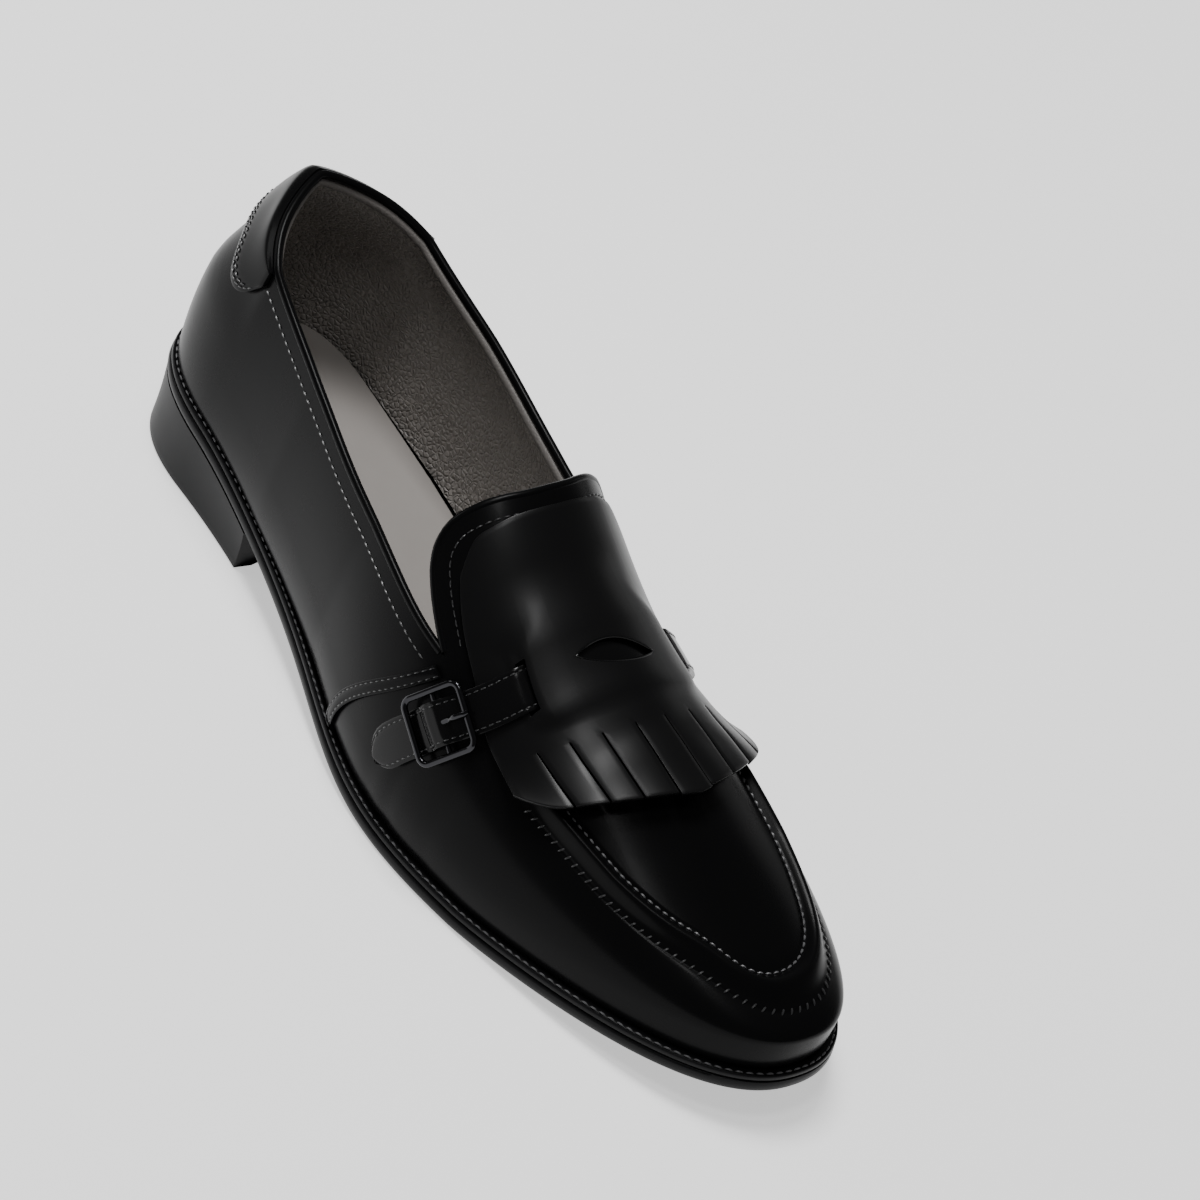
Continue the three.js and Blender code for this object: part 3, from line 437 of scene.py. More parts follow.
def stitches(name, lines, pitch=2.6, length=2.0, radius=.3, angle=0.0, sink=.35, slot="upper_leather"):
    points, faces = stitch_mesh(lines, pitch, length, radius, angle, sink)
    obj = build(name, points, faces)
    finish_piece(obj, slot)
    return obj

# %% [markdown]
# ## Materials
# One node group does the surface work. It gives fine leather grain and a soft wave as a
# bump, a soft variation of gloss and a random tone. Each material sets its own strengths.

# %% Node groups
def group(name, inputs, outputs):
    g = bpy.data.node_groups.new(name, "ShaderNodeTree")
    for label, kind, value in inputs:
        s = g.interface.new_socket(name=label, in_out="INPUT", socket_type=kind)
        if value is not None:
            s.default_value = value
    for label, kind in outputs:
        g.interface.new_socket(name=label, in_out="OUTPUT", socket_type=kind)
    return g, g.nodes.new("NodeGroupInput"), g.nodes.new("NodeGroupOutput")


def math_node(g, op, a, b=None, c=None):
    n = g.nodes.new("ShaderNodeMath")
    n.operation = op
    for k, v in enumerate((a, b, c)):
        if v is None:
            continue
        if isinstance(v, (int, float)):
            n.inputs[k].default_value = v
        else:
            g.links.new(v, n.inputs[k])
    return n.outputs[0]


FLOAT = "NodeSocketFloat"
leather_group, gin, gout = group(
    "Leather grain",
    [("Grain size", FLOAT, 1500.0), ("Grain strength", FLOAT, .1), ("Wave strength", FLOAT, .2),
     ("Gloss", FLOAT, .25), ("Gloss spread", FLOAT, .08)],
    [("Roughness", FLOAT), ("Height", FLOAT), ("Tone", FLOAT)])
g = leather_group
coords = g.nodes.new("ShaderNodeTexCoord")
cells = g.nodes.new("ShaderNodeTexVoronoi")
cells.feature = "DISTANCE_TO_EDGE"
g.links.new(coords.outputs["Object"], cells.inputs["Vector"])
g.links.new(gin.outputs["Grain size"], cells.inputs["Scale"])
wave = g.nodes.new("ShaderNodeTexNoise")
wave.inputs["Scale"].default_value = 55.0
wave.inputs["Detail"].default_value = 3.0
g.links.new(coords.outputs["Object"], wave.inputs["Vector"])
grain = math_node(g, "MULTIPLY", math_node(g, "MINIMUM", cells.outputs["Distance"], .25), gin.outputs["Grain strength"])
swell_height = math_node(g, "MULTIPLY", wave.outputs["Fac"], gin.outputs["Wave strength"])
g.links.new(math_node(g, "ADD", grain, swell_height), gout.inputs["Height"])
spread = math_node(g, "MULTIPLY", math_node(g, "SUBTRACT", wave.outputs["Fac"], .5), gin.outputs["Gloss spread"])
g.links.new(math_node(g, "ADD", gin.outputs["Gloss"], spread), gout.inputs["Roughness"])
g.links.new(wave.outputs["Fac"], gout.inputs["Tone"])


def material(name, color, gloss, grain_size=1500.0, grain_strength=.1, wave_strength=.2, gloss_spread=.08,
             bump=.05, coat=0.0, coat_gloss=.1, metal=0.0, specular=.5, tone=.0, ior=1.5):
    m = bpy.data.materials.new(name)
    m.use_nodes = True
    t = m.node_tree
    shader = t.nodes["Principled BSDF"]
    use = t.nodes.new("ShaderNodeGroup")
    use.node_tree = leather_group
    use.inputs["Grain size"].default_value = grain_size
    use.inputs["Grain strength"].default_value = grain_strength
    use.inputs["Wave strength"].default_value = wave_strength
    use.inputs["Gloss"].default_value = gloss
    use.inputs["Gloss spread"].default_value = gloss_spread
    t.links.new(use.outputs["Roughness"], shader.inputs["Roughness"])
    relief = t.nodes.new("ShaderNodeBump")
    relief.inputs["Strength"].default_value = bump
    relief.inputs["Distance"].default_value = .001
    t.links.new(use.outputs["Height"], relief.inputs["Height"])
    t.links.new(relief.outputs["Normal"], shader.inputs["Normal"])
    if tone:
        mixer = t.nodes.new("ShaderNodeMix")
        mixer.data_type = "RGBA"
        mixer.inputs["A"].default_value = (*[c * (1 - tone) for c in color], 1)
        mixer.inputs["B"].default_value = (*[min(1, c * (1 + tone)) for c in color], 1)
        t.links.new(use.outputs["Tone"], mixer.inputs["Factor"])
        t.links.new(mixer.outputs["Result"], shader.inputs["Base Color"])
    else:
        shader.inputs["Base Color"].default_value = (*color, 1)
    shader.inputs["Metallic"].default_value = metal
    shader.inputs["Specular IOR Level"].default_value = specular
    shader.inputs["Coat Weight"].default_value = coat
    shader.inputs["Coat Roughness"].default_value = coat_gloss
    shader.inputs["IOR"].default_value = ior
    return m


# %% Materials of the shoe
polished = material("Polished black leather", (.003, .003, .0032), .28, bump=.04, coat=.03, coat_gloss=.14, ior=1.14)
flap_leather = material("Black flap leather", (.0035, .0035, .0037), .33, bump=.05, coat=.05, coat_gloss=.2, ior=1.26)
strap_leather = material("Glossy strap leather", (.003, .003, .0032), .22, bump=.03, coat=.1, coat_gloss=.1, ior=1.22)
lining = material("Taupe lining", (.3, .278, .258), .45, grain_size=620.0, grain_strength=2.4, wave_strength=1.5,
                  bump=.8, tone=.12, specular=.4)
lining_edge = material("Taupe lining edge", (.13, .12, .112), .5, grain_size=900.0, grain_strength=.8,
                       wave_strength=.5, bump=.3, specular=.3)
sock = material("Smooth sock", (.3, .279, .262), .55, grain_size=1800.0, grain_strength=.2, wave_strength=.3,
                bump=.1, tone=.06, specular=.3)
thread = material("Black thread", (.016, .016, .017), .35, bump=.05, specular=.8)
# Lighter grey thread for the welt row and the inner apron row: the thread itself is black, and the grey colour paints
# the glint of its highlights.
glint_grey_thread = material("Grey thread with painted glint", (.1, .1, .104), .45, bump=.05, specular=.8)
sole_edge = material("Dressed sole edge", (.005, .005, .0055), .38, bump=.08, ior=1.22)
sole_face = material("Sole underside", (.03, .028, .027), .6, bump=.15, specular=.3)
heel_side = material("Dressed heel", (.009, .009, .0095), .46, bump=.08, ior=1.22)
gunmetal = material("Gunmetal", (.035, .035, .038), .13, bump=.0, metal=1.0, specular=.6)


def paint(obj, *materials):
    obj.data.materials.clear()
    for m in materials:
        obj.data.materials.append(m)
    return obj


# %% [markdown]
# ## Sole, welt and heel
# The sole stack is drawn as closed loops round the shoe. Each loop has an inset from the
# outline and a height over the underside.

# %% Loops
ROUND = np.unique(np.concatenate([
    np.linspace(0, HEEL_TURN, 40), np.linspace(HEEL_TURN, TOE_TURN, 100), np.linspace(TOE_TURN, 1, 64)]))
TURNS = np.concatenate([ROUND / 2, 1 - ROUND[-2:0:-1] / 2])


def loop(inset, level, turns=TURNS):
    s = station(turns)
    d = inset(s) if callable(inset) else inset
    x = s["x"] - s["nx"] * d
    y = s["y"] - s["ny"] * d
    return np.stack([x, y, underside(at_y(y)) + level], -1)


def stacked(name, loops, caps=True, ring=False):
    loops = np.asarray(loops)
    n, m = loops.shape[:2]
    faces = []
    for i in range(n if ring else n - 1):
        for j in range(m):
            i2, j2 = (i + 1) % n, (j + 1) % m
            faces.append((i * m + j, i2 * m + j, i2 * m + j2, i * m + j2))
    if caps:
        top = len(ROUND) - 1
        for base in (0, (n - 1) * m):
            for k in range(top):
                a, b = base + k, base + k + 1
                c, d = base + (m - k) % m, base + (m - k - 1) % m
                face = [a, b, d, c]
                faces.append(tuple(dict.fromkeys(face)))
    return build(name, loops.reshape(-1, 3), faces)


def edge_profile(thick, top_inset, bottom_inset, bulge, count=7):
    """Insets and levels of a rounded edge from its lower to its upper face."""
    rows = []
    for k in range(count):
        a = np.pi * k / (count - 1)
        level = thick * (1 - np.cos(a)) / 2
        base = bottom_inset + (top_inset - bottom_inset) * level / thick
        rows.append((base - bulge * np.sin(a), level))
    return rows


sole_rows = edge_profile(OUTSOLE, .75, .95, .8)
outsole = stacked("Outsole", [loop(8, .0), loop(sole_rows[0][0] + .4, .0)] + [loop(i, z) for i, z in sole_rows]
                  + [loop(8, OUTSOLE)])
paint(outsole, sole_edge, sole_face)
for face in outsole.data.polygons:
    if face.normal.z < -.85:
        face.material_index = 1
finish_piece(outsole, "sole_leather", "outsole")

welt_floor = OUTSOLE + GAP
welt_rows = edge_profile(WELT, .8, .7, .4, 6)
tuck = 6


def welt_inner(s):
    return s["ledge"] + tuck


def welt_near(s):
    return s["ledge"] - .9


welt = stacked("Welt", [loop(i, welt_floor + z) for i, z in welt_rows]
               + [loop(1.35, welt_floor + WELT - .22), loop(1.75, welt_floor + WELT - .05)]
               + [loop(welt_near, welt_floor + WELT + .02), loop(welt_inner, welt_floor + WELT - .05), loop(welt_inner, welt_floor)],
               caps=False, ring=True)
paint(welt, sole_edge)
finish_piece(welt, "welt_leather", "welt")

up = np.array([0, 0, 1.0])
stitch_loop = loop(1.55, welt_floor + WELT - .1)
closed_loop = np.vstack([stitch_loop, stitch_loop[:1]])
welt_thread = stitches("Welt_stitches", [(closed_loop, np.broadcast_to(up, closed_loop.shape))], pitch=2.9, length=2.5,
                       radius=.3, sink=.3, slot="welt_leather")
# The welt stitches take the lighter grey thread, a painted glint on black thread.
paint(welt_thread, glint_grey_thread)


def insole_inset(s):
    return s["ledge"] + WALL + .5


insole = stacked("Insole", [loop(insole_inset, FEATHER), loop(insole_inset, FEATHER + 2.1),
                            loop(lambda s: insole_inset(s) + .4, FEATHER + 2.5), loop(9, FEATHER + 2.5)])
paint(insole, sock)
finish_piece(insole, "sock_leather", "insole")

# %% Heel block
BREAST = .238
HEEL_TAPER = 1.4
BREAST_BOW = 2.2
breast_turn = float(turn_of(BREAST, -1)) * 2
heel_turns = np.concatenate([np.linspace(0, HEEL_TURN, 40), np.linspace(HEEL_TURN, breast_turn, 14)[1:]])


def heel_rim(inset):
    across = np.linspace(0, 1, 30)[1:-1]
    a = loop(inset, 0, heel_turns / 2)
    b = loop(inset, 0, 1 - heel_turns / 2)
    front = a[-1] + (b[-1] - a[-1]) * across[:, None]
    front[:, 1] += BREAST_BOW * (1 - (2 * across - 1)**2)
    return np.concatenate([a, front, b[::-1][:-1]])


def heel_ring(inset, level, on_sole):
    r = heel_rim(inset)
    r[:, 2] = underside(at_y(r[:, 1])) * on_sole + level
    return r


heel_rows = [heel_ring(HEEL_TAPER + 6, 0, 0), heel_ring(HEEL_TAPER + .5, 0, 0), heel_ring(HEEL_TAPER + .12, .12, 0),
             heel_ring(HEEL_TAPER, .5, 0)]
for s in np.linspace(0, 1, 12)[1:]:
    heel_rows.append(heel_ring(HEEL_TAPER + (.45 - HEEL_TAPER) * s + .35 * math.sin(math.pi * s), .5 * (1 - s) - GAP * s, s))
heel_rows.append(heel_ring(5, -GAP, 1))
heel_rows = np.asarray(heel_rows)
m = heel_rows.shape[1]
faces = [(i * m + j, (i + 1) * m + j, (i + 1) * m + (j + 1) % m, i * m + (j + 1) % m)
         for i in range(len(heel_rows) - 1) for j in range(m)]
faces.append(tuple(range(m)))
faces.append(tuple((len(heel_rows) - 1) * m + j for j in range(m)))
heel = build("Heel_block", heel_rows.reshape(-1, 3), faces)
paint(heel, heel_side)
finish_piece(heel, "heel_stack", "heel_block")

# %% [markdown]
# ## Upper
# The upper is one sheet with three patches: the quarters round the heel, the vamp over the
# toe, and the tongue. It gets its thickness from a solidify modifier, and the inside takes
# the lining. The seam of the apron is a ridge with a soft crest.

# %% The ridge
APRON_AT = (.6, .74, .82, .9, .95, 1)
apron_out = curve(APRON_AT, (.5, .475, .445, .4, .375, .43))
apron_in = curve(APRON_AT, (.47, .44, .42, .43, .44, .43))
apron_width = curve(APRON_AT, (.12, .11, .135, .16, .18, .205))
ridge_shape = curve((0, .2, .45, .66, .82, .92, 1), (0, .16, .62, 1, .93, .45, 0))


def apron(at, side):
    inner = np.where(side < 0, apron_out(at), apron_in(at))
    return inner, inner + apron_width(at)


def ridge_height(turn, girth, p):
    s = station(turn)
    inner, outer = apron(s["at"], s["side"])
    share = (outer - girth) / (outer - inner)
    fade = ease((-p[..., 1] - LENGTH * .167) / (LENGTH * .073))
    h = np.where((share > 0) & (share < 1), np.clip(ridge_shape(share), 0, 2), 0)
    groove = -.3 * np.exp(-((share - 1.06) / .06)**2) - .22 * np.exp(-((share + .06) / .07)**2)
    return (RIDGE * h + groove) * fade


# %% Small creases in the vamp
def crease(p):
    x, y = p[..., 0], p[..., 1]
    lines = ((-30, -3.2, .16), (-20, 3.6, .12), (-47, 4.2, .14))
    total = 0
    for y0, width, depth in lines:
        d = (y - y0 + .12 * x + 3 * np.sin(x / 14)) / abs(width)
        total = total - depth * np.exp(-d * d) * np.clip((np.abs(x + 4) - 22) / 10, 0, 1)
    return total


def skin(turn, girth):
    p = on_form(turn, girth)
    h = ridge_height(turn, girth, p) + crease(p)
    return p + normal_at(turn, girth) * h[..., None]


# %% The three patches
def collar_girth(turn):
    low = np.full(np.shape(turn), .2)
    high = np.full(np.shape(turn), 1.3)
    for _ in range(30):
        mid = (low + high) / 2
        p = on_form(turn, mid)
        above = p[..., 2] > collar(np.maximum(COLLAR_AT[0], at_y(p[..., 1])))
        low = np.where(above, mid, low)
        high = np.where(above, high, mid)
    return high


throat_girth = TONGUE_GIRTH[-1]
side_levels = np.concatenate([np.linspace(0, .12, 5)[:-1], np.linspace(.12, 1, 40)])
throat_v = float(turn_of(THROAT, -1)) * 2
quarter_v = np.concatenate([np.linspace(0, HEEL_TURN, 36), np.linspace(HEEL_TURN, throat_v, 72)[1:]])
quarter_turns = np.concatenate([-quarter_v[::-1] / 2, quarter_v[1:] / 2])
top_girth = collar_girth(quarter_turns)
top_girth[0] = top_girth[-1] = throat_girth
quarters = np.stack([skin(quarter_turns, top_girth + (2 - top_girth) * s) for s in side_levels], 1)

vamp_v = np.concatenate([np.linspace(throat_v, TOE_TURN, 60), np.linspace(TOE_TURN, 1, 64)[1:]])
low_girths = throat_girth + (2 - throat_girth) * side_levels
high_girths = np.concatenate([np.linspace(0, .44, 14), np.linspace(.45, .53, 12), np.linspace(.534, throat_girth, 22)])
girths = np.concatenate([high_girths, low_girths[1:]])


def ridge_aware(turn):
    """Girth levels for the vamp, drawn in round the ridge so that its crest stays crisp."""
    s = station(turn)
    inner, outer = apron(s["at"], s["side"])
    fade = float(ease((s["at"] - THROAT) / .06))
    spread = np.concatenate([np.linspace(0, 1, 9)[:-1] * (inner - .03), np.linspace(inner - .03, outer + .03, 28),
                             outer + .03 + (2 - outer - .03) * np.linspace(0, 1, len(girths) - 35)[1:]])
    return girths * (1 - fade) + spread * fade


vamp_turns = np.concatenate([vamp_v / 2, 1 - vamp_v[::-1][1:] / 2])
columns = []
for turn in vamp_turns:
    g_here = ridge_aware(float(turn))
    columns.append(skin(np.full(len(g_here), float(turn)), g_here))
vamp = np.stack(columns)

tongue_rows = []
wide_girths = np.concatenate([-high_girths[::-1], high_girths[1:]])
for w in np.linspace(0, 1, 26):
    edge = tongue_at(np.abs(wide_girths))
    at = THROAT + (edge - THROAT) * w
    turn, g_abs = signed(at, wide_girths)
    tongue_rows.append(skin(turn, g_abs))
tongue_rows = np.stack(tongue_rows)

points, faces = [], []
for patch in (quarters, vamp, tongue_rows):
    p, f = grid(patch, start=sum(map(len, points)))
    points.append(p)
    faces += f
upper = build("Upper", np.concatenate(points), faces)
face_outward(upper, INSIDE)
paint(upper, polished, lining, lining)
modifier(upper, "SOLIDIFY", thickness=WALL * MM, offset=-1, material_offset=1, material_offset_rim=0)
bpy.ops.object.shade_smooth_by_angle(angle=math.radians(50))
finish_piece(upper, "upper_leather", "upper")

# %% The rolled edge along the collar and the tongue
rim_turns = quarter_turns[1:-1]
rim_quarter = off_form(rim_turns, top_girth[1:-1], np.full(len(rim_turns), -WALL / 2))
tongue_edge = tongue_rows[-1]
edge_at = tongue_at(np.abs(wide_girths))
turn, g_abs = signed(edge_at, wide_girths)
tongue_edge = off_form(turn, g_abs, np.full(len(turn), -WALL / 2))
rim_bead, _ = resample(rim_quarter, 1.6)
bead = tube("Collar_edge", rim_bead, 1.35, sides=14)
paint(bead, polished)
finish_piece(bead, "upper_leather")
roll_girth = top_girth[1:-1]
scale = np.linalg.norm(on_form(rim_turns, roll_girth + .01) - on_form(rim_turns, roll_girth), axis=1) / .01
roll_line = off_form(rim_turns, roll_girth + 2.4 / scale, np.full(len(rim_turns), -WALL - .2))
roll = tube("Lining_roll", resample(roll_line, 1.6)[0], 1.5, sides=12)
paint(roll, lining_edge)
finish_piece(roll, "sock_leather")
tongue_line, _ = resample(tongue_edge[1:-1], 1.6)
bead = tube("Tongue_edge", tongue_line, 1.3, sides=14)
paint(bead, polished)
finish_piece(bead, "upper_leather")

# %% [markdown]
# ## Flap, strap and buckle
# The flap is one leaf with a cut eye and two slits, and its lower end is cut into strips.
# The strap runs under its middle and over its margins, then through the buckle.

# %% Tables of the flap and the strap
EDGE_AT = (.49, .515, .545, .593, .632, .67, .7, .77)
EDGE_GIRTH = (.39, .435, .475, .515, .565, .582, .576, .56)
END_ACROSS = (0, .25, .5, .75, .9, 1)
FLAP_TOP = (.503, .501, .498, .496, .499, .512)
FLAP_CUT = (.692, .691, .685, .674, .664, .655)
FLAP_TIP = (.766, .76, .75, .734, .716, .69)
CUTS = (-.77, -.58, -.38, -.15, .1, .34, .58, .79)
STRAP_GIRTH = (-.96, -.86, -.763, -.67, -.54, -.373, -.2, 0, .2, .373, .54, .75, 1, 1.7)
STRAP_AT = (.553, .566, .581, .594, .611, .6225, .627, .628, .627, .6225, .611, .592, .574, .562)
BUCKLE_GIRTH = -.67
SLIT_FROM, SLIT_LEVEL, SLIT_TO = .63, .75, .7
EYE_LONG, EYE_HIGH = .118 * WIDTH, .26 * STRAP_WIDTH
flap_edge = curve(EDGE_AT, EDGE_GIRTH)
end_top = curve(END_ACROSS, FLAP_TOP)
end_cut = curve(END_ACROSS, FLAP_CUT)
end_tip = curve(END_ACROSS, FLAP_TIP)
strap_at = curve(STRAP_GIRTH, STRAP_AT)


def flap_height(at, girth):
    share = np.abs(girth) / flap_edge(at)
    fringe = 3.1 * ease((-y_at(at) - .127 * LENGTH) / (.1 * LENGTH))
    off = (at - strap_at(girth)) * LENGTH
    away = (np.abs(off) - STRAP_WIDTH / 2 - 1.2) / np.where(off < 0, 1.5 * STRAP_WIDTH, 1.1 * STRAP_WIDTH)
    far = ease(away * 1.4)
    start, end = SLIT_FROM - .35 * far, SLIT_LEVEL + .3 * far
    arch = (STRAP + GAP) * (1 - ease(away)) * ease((end - share) / (end - start))
    return GAP + np.maximum(fringe, arch) + .35 * np.minimum(fringe, arch)


# %% The flap's grid
eye_at = float(strap_at(0))
eye_x = lay(eye_at, 0, 0)[0]
probe = np.linspace(0, .6, 601)
eye_ends = []
for side in (-1, 1):
    reach = np.abs(lay(np.full(601, eye_at), side * probe * flap_edge(eye_at), np.zeros(601))[:, 0] - eye_x)
    eye_ends.append(side * float(np.interp(EYE_LONG, reach, probe)))
half_cut = .2 / (float(flap_edge(.7)) * LENGTH * .255)
marks = [-1, -SLIT_TO, -SLIT_FROM, SLIT_FROM, SLIT_TO, 1, *eye_ends]
marks += [c - half_cut for c in CUTS] + [c + half_cut for c in CUTS]
marks = sorted(marks)
shares = [marks[0]]
for mark in marks[1:]:
    n = max(1, int(round((mark - shares[-1]) / .035)))
    shares += list(np.linspace(shares[-1], mark, n + 1)[1:])
shares = np.array(shares)
eye_dx = lay(np.full(len(shares), eye_at), shares * flap_edge(eye_at), np.zeros(len(shares)))[:, 0] - eye_x
eye_half = EYE_HIGH / LENGTH * np.clip(1 - (eye_dx / EYE_LONG)**2, 0, 1)**.9
eye_half[eye_half < 2e-4] = 0
slit_mid = float(strap_at(.373))
slit_reach = (STRAP_WIDTH / 2 + .3) / LENGTH
eye_line = eye_at + .17 * np.clip(eye_dx, -EYE_LONG, EYE_LONG) / LENGTH
bounds = [(end_top, lambda s: np.full(s.shape, slit_mid - slit_reach), 22),
          (None, lambda s: eye_line - eye_half, 9), (None, lambda s: eye_line + eye_half, 1),
          (None, lambda s: np.full(s.shape, slit_mid + slit_reach), 6), (None, lambda s: end_cut(np.abs(s)), 7),
          (None, lambda s: end_tip(np.abs(s)), 20)]
row_at = [end_top(np.abs(shares))]
row_kind = []
for k, (_, to, count) in enumerate(bounds):
    start = row_at[-1]
    for w in np.linspace(0, 1, count + 1)[1:]:
        row_at.append(start + (to(shares) - start) * w)
        row_kind.append(k)
row_at = np.stack(row_at, 1)
strip_of = np.searchsorted(CUTS, shares)
strip_mid = np.array([(a + b) / 2 for a, b in zip((-1, *CUTS), (*CUTS, 1))])
strip_lift = random.uniform(-.2, .25, len(strip_mid))
strip_twist = random.uniform(-.25, .35, len(strip_mid))
strip_sway = random.uniform(-.003, .003, len(strip_mid)) + .012 * strip_mid
strip_long = random.uniform(-.0012, .0012, len(strip_mid))
flap_rows = []
for i, s in enumerate(shares):
    at = row_at[i]
    cut = float(end_cut(abs(s)))
    down = np.clip((at - cut) / (float(end_tip(abs(s))) - cut), 0, 1)
    k = strip_of[i]
    at = at + strip_long[k] * down
    g = (s + strip_sway[k] * down**1.5) * flap_edge(at)
    h = flap_height(at, g) + FLAP
    h = h + 2.3 * down**1.6 + down**1.3 * (strip_lift[k] + strip_twist[k] * (s - strip_mid[k]) / .2)
    h = h + .25 * down * (1 - ((s - strip_mid[k]) / .11)**2)
    flap_rows.append(lay(at, g, h))
flap_rows = np.stack(flap_rows)


def flap_keep(i, j):
    a, b = shares[i], shares[i + 1]
    mid = (a + b) / 2
    kind = row_kind[j]
    if kind == 5 and min(abs(mid - c) for c in CUTS) < half_cut * .9:
        return False
    if kind == 2:
        return False
    if kind in (1, 3) and SLIT_FROM < abs(mid) < SLIT_TO:
        return False
    return True


flap = sheet_piece("Flap", flap_rows, FLAP, flap_keep, bevel=.22, segments=2)
paint(flap, flap_leather)
finish_piece(flap, "flap_leather", "kiltie")

# %% The fine lip round the eye
lip_shares = np.linspace(*eye_ends, 33)
lip_x = lay(np.full(33, eye_at), lip_shares * flap_edge(eye_at), np.zeros(33))[:, 0] - eye_x
lip_half = EYE_HIGH / LENGTH * np.clip(1 - (lip_x / EYE_LONG)**2, 0, 1)**.9
lip_mid = eye_at + .17 * np.clip(lip_x, -EYE_LONG, EYE_LONG) / LENGTH
lip_path = []
for at, share in ((lip_mid - lip_half, lip_shares), ((lip_mid + lip_half)[-2:0:-1], lip_shares[-2:0:-1])):
    lip_girth = share * flap_edge(at)
    lip_path.append(lay(at, lip_girth, flap_height(at, lip_girth) + FLAP - .05))
eye_lip = tube("Eye_lip", np.vstack(lip_path), .32, closed=True, sides=8)
paint(eye_lip, strap_leather)
finish_piece(eye_lip, "flap_leather")


# %% Strap
STRAP_ACROSS = ((0, GAP), (.625, GAP), (.705, GAP + FLAP + GAP), (1, GAP + FLAP + GAP))
OVER_PIN = 3.1
HUMP = ((.607, GAP + FLAP + GAP), (.642, .85 * OVER_PIN), (.665, OVER_PIN), (.695, .9 * OVER_PIN), (.732, 2 * GAP), (.765, GAP))
SLOPE = ((.58, GAP + FLAP + GAP), (.68, GAP))


def stepped(table, q):
    x, y = np.array(table).T
    i = np.clip(np.searchsorted(x, q, side="left") - 1, 0, len(x) - 2)
    return y[i] + (y[i + 1] - y[i]) * ease((q - x[i]) / (x[i + 1] - x[i]))


def strap_height(at, girth, lane):
    share = np.abs(girth) / flap_edge(at)
    down = np.abs(lane)
    past = np.where(lane < 0, stepped(HUMP, down), stepped(SLOPE, down))
    return np.where(down > np.where(lane < 0, HUMP[0][0], SLOPE[0][0]), past, stepped(STRAP_ACROSS, share))


def spot(at, girth):
    turn, g = signed(at, girth)
    return on_form(turn, g)


def beside(at, girth, slope, width):
    e = 1e-3
    here = spot(at, girth)
    by_at = (spot(at + e, girth) - here) / e
    by_girth = (spot(at, girth + e) - here) / e

    def dot(p, q):
        return (p * q).sum(-1)
    line = by_girth + by_at * np.asarray(slope)[..., None]
    line = line / np.linalg.norm(line, axis=-1, keepdims=True)
    square = by_at - line * dot(by_at, line)[..., None]
    square = square / np.linalg.norm(square, axis=-1, keepdims=True)
    aa, ab, bb = dot(by_at, by_at), dot(by_at, by_girth), dot(by_girth, by_girth)
    pa, pb = dot(square, by_at) * width, dot(square, by_girth) * width
    det = aa * bb - ab * ab
    return at + (pa * bb - pb * ab) / det, girth + (pb * aa - pa * ab) / det


TIP = STRAP_GIRTH[0]
lanes = np.concatenate([TIP + np.array([0, .002, .006, .012, .022, .035, .055, .08]), np.linspace(TIP + .1, -.78, 9),
                        np.linspace(-.77, -.5, 44), np.linspace(-.49, .5, 60), np.linspace(.52, .7, 14),
                        np.linspace(.74, .95, 10), np.linspace(1.06, STRAP_GIRTH[-1], 20)])
profile = np.array([-1, -.985, -.95, -.9, -.85, -.8, -.75, -.7, -.55, -.3, 0, .3, .55, .7, .75, .8, .85, .9, .95, .985, 1])
dome = .16 * (1 - np.abs(profile)**2) - .13 * np.exp(-((np.abs(profile) - .8) / .05)**2) - .16 * np.clip((np.abs(profile) - .93) / .07, 0, 1)


def strap_width(lane):
    s = np.clip((lane - TIP) / .08, 0, 1)
    return STRAP_WIDTH / 2 * np.maximum(.12, np.sqrt(1 - (1 - s)**2))


def strap_spots(lane, share, lift):
    lane, share = np.broadcast_arrays(lane, share)
    slope = (strap_at(lane + .01) - strap_at(lane - .01)) / .02
    at, g = beside(strap_at(lane), lane, slope, share * strap_width(lane))
    return np.stack([at, g, strap_height(at, g, lane) + STRAP + lift], -1)


spots = strap_spots(lanes[:, None], profile[None], dome[None])
strap = sheet_piece("Strap", lay(spots[..., 0], spots[..., 1], spots[..., 2]), STRAP, bevel=.25, segments=2)
paint(strap, strap_leather)
finish_piece(strap, "strap_leather", "strap")
lines = []
for share in (-.8, .8):
    row = strap_spots(lanes[lanes > TIP + .03], share, -.06)
    turn, g_abs = signed(row[:, 0], row[:, 1])
    lines.append((off_form(turn, g_abs, row[:, 2]), normal_at(turn, g_abs)))
strap_thread = stitches("Strap_stitches", lines, pitch=2.2, length=1.8, radius=.24, sink=.35, slot="strap_leather")
paint(strap_thread, thread)

# %% Buckle
BUCKLE = 20.6
BAR = 1.9
PIN = .7
seat_turn, seat_g = signed(float(strap_at(BUCKLE_GIRTH)), BUCKLE_GIRTH)
seat = on_form(seat_turn, seat_g)
seat_out = normal_at(seat_turn, seat_g)
up_strap = spot(strap_at(BUCKLE_GIRTH + .09), BUCKLE_GIRTH + .09) - spot(strap_at(BUCKLE_GIRTH - .09), BUCKLE_GIRTH - .09)
up_strap -= seat_out * up_strap.dot(seat_out)
up_strap /= np.linalg.norm(up_strap)
over_strap = np.cross(seat_out, up_strap)


def buckle_frame_points(local):
    local = np.asarray(local, float)
    return seat + local[:, :1] * up_strap + local[:, 1:2] * over_strap + local[:, 2:] * seat_out


